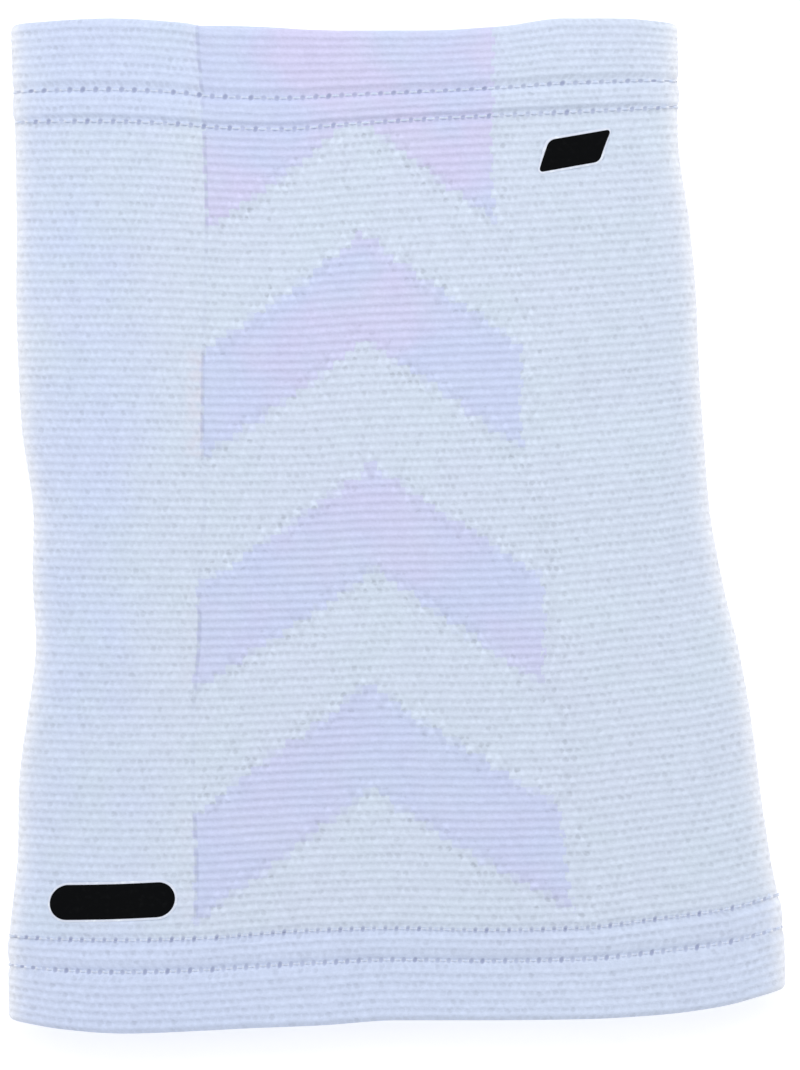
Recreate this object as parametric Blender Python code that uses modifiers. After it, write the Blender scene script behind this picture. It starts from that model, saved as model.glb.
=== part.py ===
"""A knitted volleyball knee sleeve, lying flat on its back with its front up.

Frame: metres, +Z up. The sleeve rests on z = 0, +Y runs from the wide thigh mouth to the narrow calf mouth,
and +X is the right side seen from above. The origin is under the middle of the sleeve.

The sleeve is one knitted tube with both ends turned in and stitched down. A tube lying flat has a front wall,
a back wall and two rounded side folds, and it stays a little open, because the thick knit resists the fold.
A place on it has two coordinates. "across" is a share, from the left fold, 0, to the right fold, 1. "along" is
the distance from the thigh mouth, measured along the knit.
"""

import math
from collections import namedtuple

import bpy

MM = 0.001

# Sizes of the sleeve as it lies
SLEEVE_LENGTH = 252 * MM
THIGH_WIDTH = 191 * MM
CALF_WIDTH = 163.5 * MM
CALF_LEAN = 13.3 * MM  # how far the calf mouth's middle lies to the left of the thigh mouth's middle
LYING_HEIGHT = 12.5 * MM
SIDE_FOLD_HEIGHT = 6.2 * MM  # height of the sleeve's outermost line above what it lies on
FRONT_FOLD_REACH = 17 * MM  # from the side fold to where the front wall is level
BACK_FOLD_REACH = 10 * MM  # from the side fold to where the back wall lies flat

# The knit
KNIT_WALL = 2.0 * MM
PIECE_GAP = 0.3 * MM

# The turned hems, from each mouth to the inner one of two rows of stitching
THIGH_HEM_WIDTH = 23.2 * MM
CALF_HEM_WIDTH = 25.6 * MM
STITCH_ROW_SPACING = 7.9 * MM
HEM_THICKNESS = 3.4 * MM  # two plies
HEM_PROUD = 0.5 * MM  # how far a hem stands out past the body's knit
STITCH_GROOVE_DEPTH = 0.55 * MM  # below the body's knit
STITCH_GROOVE_FLOOR = 0.9 * MM  # width of the bottom of a stitched groove
STITCH_GROOVE_FLANK = 1.9 * MM  # from the bottom of a stitched groove to its rim

# The chevron bands, knitted in a closer stitch that stands a little proud of the front wall
CHEVRON_RAISE = 0.35 * MM
CHEVRON_HEM_CLEARANCE = 2.6 * MM  # between a band and a hem's stitching

# The two black transfer labels
LABEL_THICKNESS = 0.6 * MM
PILL_LENGTH = 31 * MM
PILL_HEIGHT = 8.7 * MM
PILL_FROM_LEFT_FOLD = 24.6 * MM
PILL_FROM_THIGH_HEM = 9.6 * MM
PILL_TILT = math.radians(2)
SLANTED_LENGTH = 20 * MM
SLANTED_HEIGHT = 7.5 * MM
SLANTED_SHIFT = 4.5 * MM  # how far the slanted label's top edge lies to the right of its bottom edge
SLANTED_FROM_RIGHT_FOLD = 25.5 * MM
SLANTED_FROM_CALF_HEM = 9.8 * MM
SLANTED_TILT = math.radians(7)

# Facets
FOLD_STEPS = 5  # segments of each wall's half of a side fold
FRONT_STEPS = 15
BACK_STEPS = 7
OUTER_STEPS = 19
INNER_STEPS = 9
LIP_STEPS = 4
ARM_STEPS = 6
BAND_STEPS = 4
LABEL_STEPS = 8

# The outline seen from above: how much of the way from the thigh's width to the calf's, and how much of the
# lean, is reached at each share of the length.
Section = namedtuple("Section", "share narrowed lean")
SECTIONS = (
    Section(0.00, 0.00, 0.00),
    Section(0.09, 0.00, 0.02),
    Section(0.13, 0.07, 0.03),
    Section(0.17, 0.18, 0.07),
    Section(0.25, 0.30, 0.15),
    Section(0.31, 0.45, 0.16),
    Section(0.37, 0.61, 0.18),
    Section(0.45, 0.76, 0.38),
    Section(0.52, 0.87, 0.50),
    Section(0.60, 0.83, 0.66),
    Section(0.72, 0.84, 0.77),
    Section(0.80, 0.90, 0.83),
    Section(0.88, 1.00, 0.95),
    Section(1.00, 1.00, 1.00),
)

# How the mouths and the inner stitching wave: the rise towards the calf at each place across, as shares of the
# sleeve's length. The back wall's calf mouth has a column of its own, and shows past the front wall's.
Wave = namedtuple("Wave", "across thigh_mouth thigh_row calf_row calf_mouth calf_mouth_back")
WAVES = (
    Wave(0.00, 0.012, 0.003, 0.000, -0.005, -0.005),
    Wave(0.06, 0.004, 0.001, 0.000, -0.002, -0.003),
    Wave(0.14, 0.000, 0.000, 0.000, 0.000, -0.003),
    Wave(0.25, 0.003, 0.002, -0.003, -0.004, -0.004),
    Wave(0.30, 0.005, 0.005, -0.006, -0.009, -0.004),
    Wave(0.40, 0.008, 0.010, -0.008, -0.010, -0.006),
    Wave(0.50, 0.013, 0.012, -0.003, -0.012, -0.013),
    Wave(0.62, 0.013, 0.010, 0.002, -0.012, -0.014),
    Wave(0.74, 0.014, 0.012, 0.006, -0.008, -0.012),
    Wave(0.84, 0.018, 0.021, 0.009, 0.000, -0.005),
    Wave(0.93, 0.027, 0.030, 0.012, 0.000, -0.003),
    Wave(1.00, 0.042, 0.043, 0.015, -0.004, -0.004),
)

# Soft swells and dents of the front wall: where they are, as shares across and of the length, their height as
# a share of the lying height, and how far they reach each way.
Swell = namedtuple("Swell", "across share height reach_across reach_share")
SWELLS = (
    Swell(0.50, 0.54, 0.090, 0.30, 0.40),
    Swell(0.16, 0.32, -0.070, 0.12, 0.18),
    Swell(0.86, 0.59, -0.060, 0.13, 0.24),
    Swell(0.30, 0.96, -0.070, 0.14, 0.05),
    Swell(0.72, 0.95, 0.050, 0.16, 0.05),
    Swell(0.60, 0.04, -0.060, 0.22, 0.04),
    Swell(0.20, 0.05, 0.050, 0.14, 0.05),
)

# The chevron bands: where the outer tip and the inner notch cross the panel's middle line, and how far the
# arms' ends lie nearer to the thigh, as shares of the body between the hems. The first runs into the calf hem.
Chevron = namedtuple("Chevron", "name tip notch drop")
CHEVRONS = (
    Chevron("chevron_1", 1.140, 1.007, 0.135),
    Chevron("chevron_2", 0.864, 0.733, 0.144),
    Chevron("chevron_3", 0.577, 0.446, 0.143),
    Chevron("chevron_4", 0.303, 0.172, 0.151),
)

# The lines that the chevrons end and turn on, as shares across at the thigh hem and at the calf hem
PanelLine = namedtuple("PanelLine", "thigh calf")
PANEL_LEFT = PanelLine(0.228, 0.285)
PANEL_MIDDLE = PanelLine(0.466, 0.518)
PANEL_RIGHT = PanelLine(0.730, 0.722)

KNIT_COLOUR = (0.62, 0.70, 0.86, 1)
HEM_COLOUR = (0.58, 0.67, 0.89, 1)
LABEL_COLOUR = (0.012, 0.012, 0.015, 1)

THIGH_STITCHING = THIGH_HEM_WIDTH
CALF_STITCHING = SLEEVE_LENGTH - CALF_HEM_WIDTH
BODY_LENGTH = CALF_STITCHING - THIGH_STITCHING


def table_value(rows, column, at):
    """One column of a table at any value of its first column, on a smooth curve with no overshoot."""
    places = [row[0] for row in rows]
    values = [getattr(row, column) for row in rows]
    at = min(max(at, places[0]), places[-1])
    slopes = [(b - a) / (q - p) for a, b, p, q in zip(values, values[1:], places, places[1:])]
    index = max(i for i in range(len(slopes)) if places[i] <= at)
    step = places[index + 1] - places[index]
    start = step * slope_between(slopes[max(index - 1, 0)], slopes[index])
    end = step * slope_between(slopes[index], slopes[min(index + 1, len(slopes) - 1)])
    rise = values[index + 1] - values[index]
    t = (at - places[index]) / step
    return values[index] + t * (start + t * (3 * rise - 2 * start - end + t * (start + end - 2 * rise)))


def slope_between(first, second):
    """The slope where two stretches of a curve meet: none where it turns, and else their harmonic mean."""
    return 0.0 if first * second <= 0 else 2 * first * second / (first + second)


def knit_y(across, along, on_back):
    """Y of a place on the sleeve, with the wave of the rows that it lies between."""
    lines = (0.0, THIGH_STITCHING, CALF_STITCHING, SLEEVE_LENGTH)
    columns = ("thigh_mouth", "thigh_row", "calf_row", "calf_mouth_back" if on_back else "calf_mouth")
    index = max(i for i in range(3) if i == 0 or lines[i] <= along)
    share = (along - lines[index]) / (lines[index + 1] - lines[index])
    low = table_value(WAVES, columns[index], across)
    high = table_value(WAVES, columns[index + 1], across)
    return along - SLEEVE_LENGTH / 2 + SLEEVE_LENGTH * (low + share * (high - low))


def side_edges(y):
    """X of the left and the right side fold at a place along the sleeve."""
    share = y / SLEEVE_LENGTH + 0.5
    width = THIGH_WIDTH + (CALF_WIDTH - THIGH_WIDTH) * table_value(SECTIONS, "narrowed", share)
    middle = -CALF_LEAN * table_value(SECTIONS, "lean", share)
    return middle - width / 2, middle + width / 2


def knit_lift(along):
    """How far the outer face stands out: proud on a hem, and pulled in along each row of stitching."""
    on_hem = along < THIGH_STITCHING or along > CALF_STITCHING
    level = HEM_PROUD if on_hem else 0.0
    stitching = (
        THIGH_STITCHING - STITCH_ROW_SPACING, THIGH_STITCHING,
        CALF_STITCHING, CALF_STITCHING + STITCH_ROW_SPACING,
    )
    nearest = min(abs(along - row) for row in stitching)
    share = min(max(nearest - STITCH_GROOVE_FLOOR / 2, 0) / STITCH_GROOVE_FLANK, 1)
    pulled = 0.5 + 0.5 * math.cos(math.pi * share)
    return level - pulled * (level + STITCH_GROOVE_DEPTH)


def swell_height(across, along):
    """What the swells and dents add to the front wall's height."""
    total = 0.0
    for swell in SWELLS:
        far_across = (across - swell.across) / swell.reach_across
        far_along = (along / SLEEVE_LENGTH - swell.share) / swell.reach_share
        total += swell.height * math.exp(-far_across ** 2 - far_along ** 2)
    return LYING_HEIGHT * total


def fold_rise(across, reach):
    """How much of its height a wall has reached at a place across: a quarter of an ellipse at each fold."""
    share = min(min(across, 1 - across) * CALF_WIDTH / reach, 1)
    return math.sqrt(max(0.0, 1 - (1 - share) ** 2))


def sleeve_point(across, along, on_back, depth):
    """A point at a depth inside the body's outer face. On the back, what stands proud is pressed flat."""
    if on_back:
        rise = fold_rise(across, BACK_FOLD_REACH)
        depth += max(-depth, 0) * rise
        z = SIDE_FOLD_HEIGHT - (SIDE_FOLD_HEIGHT - depth) * rise
    else:
        rise = fold_rise(across, FRONT_FOLD_REACH)
        z = SIDE_FOLD_HEIGHT + (LYING_HEIGHT - SIDE_FOLD_HEIGHT - depth + swell_height(across, along)) * rise
    y = knit_y(across, along, on_back)
    left, right = side_edges(y)
    return left + depth + across * (right - left - 2 * depth), y, z


def ring_places():
    """The places round the tube that its walls are drawn through, as (across, on_back) pairs."""
    def wall(reach, steps):
        fold = [reach * (1 - math.cos(math.pi / 2 * i / FOLD_STEPS)) for i in range(FOLD_STEPS + 1)]
        level = [reach + (1 - 2 * reach) * i / steps for i in range(1, steps)]
        return fold + level + [1 - share for share in reversed(fold)]

    front = [(share, False) for share in wall(FRONT_FOLD_REACH / CALF_WIDTH, FRONT_STEPS)]
    back = [(share, True) for share in wall(BACK_FOLD_REACH / CALF_WIDTH, BACK_STEPS)]
    return front + back[-2:0:-1]


def even_steps(start, end, steps):
    return [start + (end - start) * i / steps for i in range(steps + 1)]


def mesh_object(name, grids, wrapped, collection):
    """An object from grids of points. A wrapped grid joins its last row and column to its first ones."""
    points = []
    faces = []
    for grid in grids:
        first, rows, columns = len(points), len(grid), len(grid[0])
        points += [point for row in grid for point in row]
        for i in range(rows if wrapped else rows - 1):
            for j in range(columns if wrapped else columns - 1):
                corners = ((i, j), (i, j + 1), (i + 1, j + 1), (i + 1, j))
                faces.append([first + row % rows * columns + column % columns for row, column in corners])
    mesh = bpy.data.meshes.new(name)
    mesh.from_pydata(points, [], faces)
    obj = bpy.data.objects.new(name, mesh)
    collection.objects.link(obj)
    return obj


def colour(obj, name, rgba, roughness):
    material = bpy.data.materials.get(name) or bpy.data.materials.new(name)
    material.use_nodes = True
    shader = material.node_tree.nodes["Principled BSDF"]
    shader.inputs["Base Color"].default_value = rgba
    shader.inputs["Roughness"].default_value = roughness
    material.diffuse_color = rgba
    obj.data.materials.append(material)


def knit_band(name, profile, rgba, collection):
    """A band of knit: its own section, as (along, depth) pairs, carried round the tube."""
    places = ring_places()
    grid = [[sleeve_point(across, along, on_back, depth) for across, on_back in places]
            for along, depth in profile]
    band = mesh_object(name, [grid], True, collection)
    colour(band, name + "_knit", rgba, 0.9)
    return band


def groove_stations(stitching, side):
    """Places from a stitched groove's floor out to its rim, on one side of it."""
    floor = STITCH_GROOVE_FLOOR / 2
    return [stitching + side * (floor + STITCH_GROOVE_FLANK * share) for share in (0, 0.5, 1)]


def sleeve_body(collection):
    """The tube between the two hems: its outer face, then its inner face back again."""
    gap = PIECE_GAP / 2
    start = groove_stations(THIGH_STITCHING, 1)
    end = groove_stations(CALF_STITCHING, -1)[::-1]
    level = even_steps(start[-1], end[0], OUTER_STEPS)[1:-1]
    outer = [THIGH_STITCHING + gap, *start, *level, *end, CALF_STITCHING - gap]
    inner = even_steps(CALF_STITCHING - gap, THIGH_STITCHING + gap, INNER_STEPS)
    profile = [(along, -knit_lift(along)) for along in outer] + [(along, KNIT_WALL) for along in inner]
    return knit_band("sleeve_body", profile, KNIT_COLOUR, collection)


def turned_hem(name, stitching, mouth, collection):
    """A hem: its outer face from the stitching to the mouth, the mouth's round lip, and its inner face."""
    out = 1 if mouth > stitching else -1
    second = stitching + out * STITCH_ROW_SPACING
    radius = HEM_THICKNESS / 2
    lip_start = mouth - out * radius
    rim = groove_stations(second, out)
    outer = [stitching + out * PIECE_GAP / 2, *groove_stations(stitching, out)]
    outer += [(stitching + second) / 2, *groove_stations(second, -out)[::-1], *rim]
    outer += even_steps(rim[-1], lip_start, 3)[1:-1]
    profile = [(along, -knit_lift(along)) for along in outer]
    for angle in even_steps(0, math.pi, LIP_STEPS):
        profile.append((lip_start + out * radius * math.sin(angle), radius * (1 - math.cos(angle)) - HEM_PROUD))
    inner = even_steps(lip_start, outer[0], 3)[1:]
    profile += [(along, HEM_THICKNESS - HEM_PROUD) for along in inner]
    return knit_band(name, profile if out > 0 else profile[::-1], HEM_COLOUR, collection)


def front_patch(name, grids, bottom, top, collection):
    """A slab that follows the front wall over grids of (across, along) places, between two depths."""
    points = [[[sleeve_point(across, along, False, bottom) for across, along in row] for row in grid]
              for grid in grids]
    patch = mesh_object(name, points, False, collection)
    shell = patch.modifiers.new("thickness", "SOLIDIFY")
    shell.thickness = bottom - top
    shell.offset = 1
    return patch


def panel_place(share, arm):
    """(across, along) of a place in the chevron panel: arm runs from -1, its left line, to 1, its right."""
    def line(side):
        return side.thigh + (side.calf - side.thigh) * share

    end = line(PANEL_LEFT if arm < 0 else PANEL_RIGHT)
    return line(PANEL_MIDDLE) + abs(arm) * (end - line(PANEL_MIDDLE)), THIGH_STITCHING + share * BODY_LENGTH


def chevron_grids(chevron):
    """Places of one band in rows from its lower to its upper edge. Where the hem cuts it, it has two parts."""
    limit = 1 - CHEVRON_HEM_CLEARANCE / BODY_LENGTH
    sliver = 2 * PIECE_GAP / BODY_LENGTH
    inner = max(0.0, (chevron.notch - limit + sliver) / chevron.drop)
    arm = even_steps(inner, 1, ARM_STEPS)
    left = [-reach for reach in reversed(arm)]
    parts = [left, arm] if inner else [left[:-1] + arm]
    grids = []
    for part in parts:
        grid = []
        for rise in even_steps(0, 1, BAND_STEPS):
            row = []
            for reach in part:
                low = chevron.notch - chevron.drop * abs(reach)
                high = min(chevron.tip - chevron.drop * abs(reach), limit)
                row.append(panel_place(low + rise * (high - low), reach))
            grid.append(row)
        grids.append(grid)
    return grids


def raise_chevrons(body, collection):
    """Joins the chevron bands to the body's front wall as a low relief."""
    for chevron in CHEVRONS:
        band = front_patch(chevron.name, chevron_grids(chevron), KNIT_WALL / 2, -CHEVRON_RAISE, collection)
        band.hide_render = True
        band.display_type = "WIRE"
        join = body.modifiers.new(chevron.name, "BOOLEAN")
        join.object = band
        join.operation = "UNION"


def front_label(name, centre_across, centre_along, tilt, outline, collection):
    """A flat label laid on the front wall. outline gives (x, y) on it for a share along and a share up."""
    _, centre_y, _ = sleeve_point(centre_across, centre_along, False, 0)
    left, right = side_edges(centre_y)
    grid = []
    for up in (-1, 0, 1):
        row = []
        for share in even_steps(-1, 1, 2 * LABEL_STEPS):
            x, y = outline(share, up)
            across = centre_across + (x * math.cos(tilt) - y * math.sin(tilt)) / (right - left)
            row.append((across, centre_along + x * math.sin(tilt) + y * math.cos(tilt)))
        grid.append(row)
    label = front_patch(name, [grid], -PIECE_GAP, -PIECE_GAP - LABEL_THICKNESS, collection)
    colour(label, "black_transfer", LABEL_COLOUR, 0.4)
    return label


def pill_label(collection):
    """The round-ended label by the thigh hem."""
    radius = PILL_HEIGHT / 2
    straight = PILL_LENGTH / 2 - radius
    end_turn = math.radians(82)  # just short of a quarter turn, so that the last face keeps some height

    def outline(share, up):
        turn = end_turn * max(0.0, 2 * abs(share) - 1)
        x = min(2 * abs(share), 1) * straight + radius * math.sin(turn)
        return math.copysign(x, share), up * radius * math.cos(turn)

    across = PILL_FROM_LEFT_FOLD / THIGH_WIDTH
    return front_label(
        "pill_label", across, THIGH_STITCHING + PILL_FROM_THIGH_HEM, PILL_TILT, outline, collection
    )


def slanted_label(collection):
    """The plain slanted label by the calf hem."""
    def outline(share, up):
        return (share * (SLANTED_LENGTH - SLANTED_SHIFT) + up * SLANTED_SHIFT) / 2, up * SLANTED_HEIGHT / 2

    across = 1 - SLANTED_FROM_RIGHT_FOLD / CALF_WIDTH
    return front_label(
        "slanted_label", across, CALF_STITCHING - SLANTED_FROM_CALF_HEM, SLANTED_TILT, outline, collection
    )


def main():
    for obj in list(bpy.data.objects):
        bpy.data.objects.remove(obj)
    collection = bpy.data.collections.new("knee_sleeve")
    joined = bpy.data.collections.new("joined_shapes")
    for made in (collection, joined):
        bpy.context.scene.collection.children.link(made)
    body = sleeve_body(collection)
    raise_chevrons(body, joined)
    turned_hem("thigh_hem", THIGH_STITCHING, 0.0, collection)
    turned_hem("calf_hem", CALF_STITCHING, SLEEVE_LENGTH, collection)
    pill_label(collection)
    slanted_label(collection)


main()
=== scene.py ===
"""The looks of a knitted volleyball knee sleeve that lies flat, with its front up.

Everything is in metres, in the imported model's frame: +Z up, +Y towards the narrow calf mouth, and +X to
the right as seen from above. A place on the sleeve has two coordinates. "across" is a share, from the left
fold, 0, to the right fold, 1. "along" is the distance from the thigh mouth, measured along the knit. The
knit itself is counted in courses, the rows that run round the tube, and in wales, the columns of stitches
along it.
"""

import logging
import math
from dataclasses import dataclass, field
from enum import Enum
from typing import NamedTuple

import bpy
import numpy as np
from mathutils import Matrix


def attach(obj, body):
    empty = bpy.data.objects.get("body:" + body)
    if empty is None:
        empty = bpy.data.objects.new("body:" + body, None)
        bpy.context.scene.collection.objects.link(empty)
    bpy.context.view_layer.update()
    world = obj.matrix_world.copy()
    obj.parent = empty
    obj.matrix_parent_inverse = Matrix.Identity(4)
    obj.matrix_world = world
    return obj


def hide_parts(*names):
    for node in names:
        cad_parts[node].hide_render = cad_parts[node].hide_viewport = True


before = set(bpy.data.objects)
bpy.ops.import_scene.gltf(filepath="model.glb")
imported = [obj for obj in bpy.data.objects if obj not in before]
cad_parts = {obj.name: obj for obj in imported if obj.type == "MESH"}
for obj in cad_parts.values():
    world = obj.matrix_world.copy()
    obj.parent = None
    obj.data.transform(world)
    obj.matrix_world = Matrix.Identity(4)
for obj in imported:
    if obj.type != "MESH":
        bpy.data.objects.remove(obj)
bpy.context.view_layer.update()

MM = 0.001
ROOT = "root"
RIPPLE_SEED = 5
PATCH_SEED = 3
log = logging.getLogger("knee_sleeve")

SeenColour = tuple[int, int, int]


class Section(NamedTuple):
    """How far the outline has narrowed and leaned at a share of the length."""

    share: float
    narrowed: float
    lean: float


class Wave(NamedTuple):
    """How far the mouths and the inner stitching rise towards the calf, as shares of the length."""

    across: float
    thigh_mouth: float
    thigh_row: float
    calf_row: float
    calf_mouth: float
    calf_mouth_back: float


class Swell(NamedTuple):
    """A soft swell or dent of the front wall, as shares of the lying height, the width and the length."""

    across: float
    share: float
    height: float
    reach_across: float
    reach_share: float


class PanelSpot(NamedTuple):
    """The chevron panel's three lines, as shares across, at a share of the body between the hems."""

    share: float
    left: float
    middle: float
    right: float


class Chevron(NamedTuple):
    """A chevron band's outer tip, inner notch and the drop of its arms, as shares of the body."""

    tip: float
    notch: float
    drop: float


SECTIONS = (
    Section(0.00, 0.00, 0.00),
    Section(0.09, 0.00, 0.02),
    Section(0.13, 0.07, 0.03),
    Section(0.17, 0.18, 0.07),
    Section(0.25, 0.30, 0.15),
    Section(0.31, 0.45, 0.16),
    Section(0.37, 0.61, 0.18),
    Section(0.45, 0.76, 0.38),
    Section(0.52, 0.87, 0.50),
    Section(0.60, 0.83, 0.66),
    Section(0.72, 0.84, 0.77),
    Section(0.80, 0.90, 0.83),
    Section(0.88, 1.00, 0.95),
    Section(1.00, 1.00, 1.00),
)
WAVES = (
    Wave(0.00, 0.012, 0.003, 0.000, -0.005, -0.005),
    Wave(0.06, 0.004, 0.001, 0.000, -0.002, -0.003),
    Wave(0.14, 0.000, 0.000, 0.000, 0.000, -0.003),
    Wave(0.25, 0.003, 0.002, -0.003, -0.004, -0.004),
    Wave(0.30, 0.005, 0.005, -0.006, -0.009, -0.004),
    Wave(0.40, 0.008, 0.010, -0.008, -0.010, -0.006),
    Wave(0.50, 0.013, 0.012, -0.003, -0.012, -0.013),
    Wave(0.62, 0.013, 0.010, 0.002, -0.012, -0.014),
    Wave(0.74, 0.014, 0.012, 0.006, -0.008, -0.012),
    Wave(0.84, 0.018, 0.021, 0.009, 0.000, -0.005),
    Wave(0.93, 0.027, 0.030, 0.012, 0.000, -0.003),
    Wave(1.00, 0.042, 0.043, 0.015, -0.004, -0.004),
)
SWELLS = (
    Swell(0.50, 0.54, 0.090, 0.30, 0.40),
    Swell(0.16, 0.32, -0.070, 0.12, 0.18),
    Swell(0.86, 0.59, -0.060, 0.13, 0.24),
    Swell(0.30, 0.96, -0.070, 0.14, 0.05),
    Swell(0.72, 0.95, 0.050, 0.16, 0.05),
    Swell(0.60, 0.04, -0.060, 0.22, 0.04),
    Swell(0.20, 0.05, 0.050, 0.14, 0.05),
)
PANEL = (
    PanelSpot(0.00, 0.238, 0.472, 0.731),
    PanelSpot(0.16, 0.234, 0.478, 0.727),
    PanelSpot(0.30, 0.226, 0.471, 0.719),
    PanelSpot(0.45, 0.241, 0.498, 0.742),
    PanelSpot(0.585, 0.259, 0.510, 0.734),
    PanelSpot(0.73, 0.271, 0.508, 0.741),
    PanelSpot(0.87, 0.280, 0.514, 0.712),
    PanelSpot(1.00, 0.284, 0.515, 0.722),
    PanelSpot(1.12, 0.277, 0.513, 0.724),
)
CHEVRONS = (
    Chevron(1.140, 1.007, 0.135),
    Chevron(0.864, 0.733, 0.144),
    Chevron(0.577, 0.446, 0.143),
    Chevron(0.303, 0.172, 0.151),
)


def smooth_table(rows: tuple, column: str, at: np.ndarray) -> np.ndarray:
    """One column of a table at any values of its first column, on a smooth curve with no overshoot.

    Args:
        rows: The table, as named tuples sorted by their first field.
        column: The field to read.
        at: Where to read it.

    Returns:
        The values, in the shape of at.
    """
    places = np.array([row[0] for row in rows])
    values = np.array([getattr(row, column) for row in rows])
    at = np.clip(at, places[0], places[-1])
    steps = np.diff(places)
    slopes = np.diff(values) / steps
    before = np.concatenate([slopes[:1], slopes])
    after = np.concatenate([slopes, slopes[-1:]])
    turning = before * after <= 0
    meeting = np.where(turning, 0.0, 2 * before * after / np.where(turning, 1.0, before + after))
    index = np.clip(np.searchsorted(places, at, side="right") - 1, 0, len(slopes) - 1)
    t = (at - places[index]) / steps[index]
    start, end = steps[index] * meeting[index], steps[index] * meeting[index + 1]
    rise = values[index + 1] - values[index]
    return values[index] + t * (start + t * (3 * rise - 2 * start - end + t * (start + end - 2 * rise)))


def smooth_step(low: float, high: float, value: np.ndarray) -> np.ndarray:
    """0 below low, 1 above high, and a soft rise between.

    Args:
        low: Where the rise begins.
        high: Where it ends.
        value: Where to read it.

    Returns:
        The rise at each value.
    """
    share = np.clip((value - low) / (high - low), 0, 1)
    return share * share * (3 - 2 * share)


def soft_ripple(first: np.ndarray, second: np.ndarray, size: float, seed: int) -> np.ndarray:
    """A smooth random ripple between about -1 and 1, made of a few waves in random directions.

    Args:
        first: The first coordinate.
        second: The second coordinate, in the same unit.
        size: The ripple's usual wavelength, in that unit.
        seed: Which ripple.

    Returns:
        The ripple at each place.
    """
    rng = np.random.default_rng(seed)
    waves = 9
    total = np.zeros(np.broadcast(first, second).shape)
    for _ in range(waves):
        turn, shift = rng.uniform(0, 2 * math.pi, 2)
        rate = 2 * math.pi / size * rng.uniform(0.6, 1.5)
        total = total + np.cos(rate * (math.cos(turn) * first + math.sin(turn) * second) + shift)
    return total / math.sqrt(waves * 2)


@dataclass(frozen=True)
class Columns:
    """Places round the tube: across, on_back, and turn, the share of the way round from the left fold."""

    across: np.ndarray
    on_back: np.ndarray
    turn: np.ndarray


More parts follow.
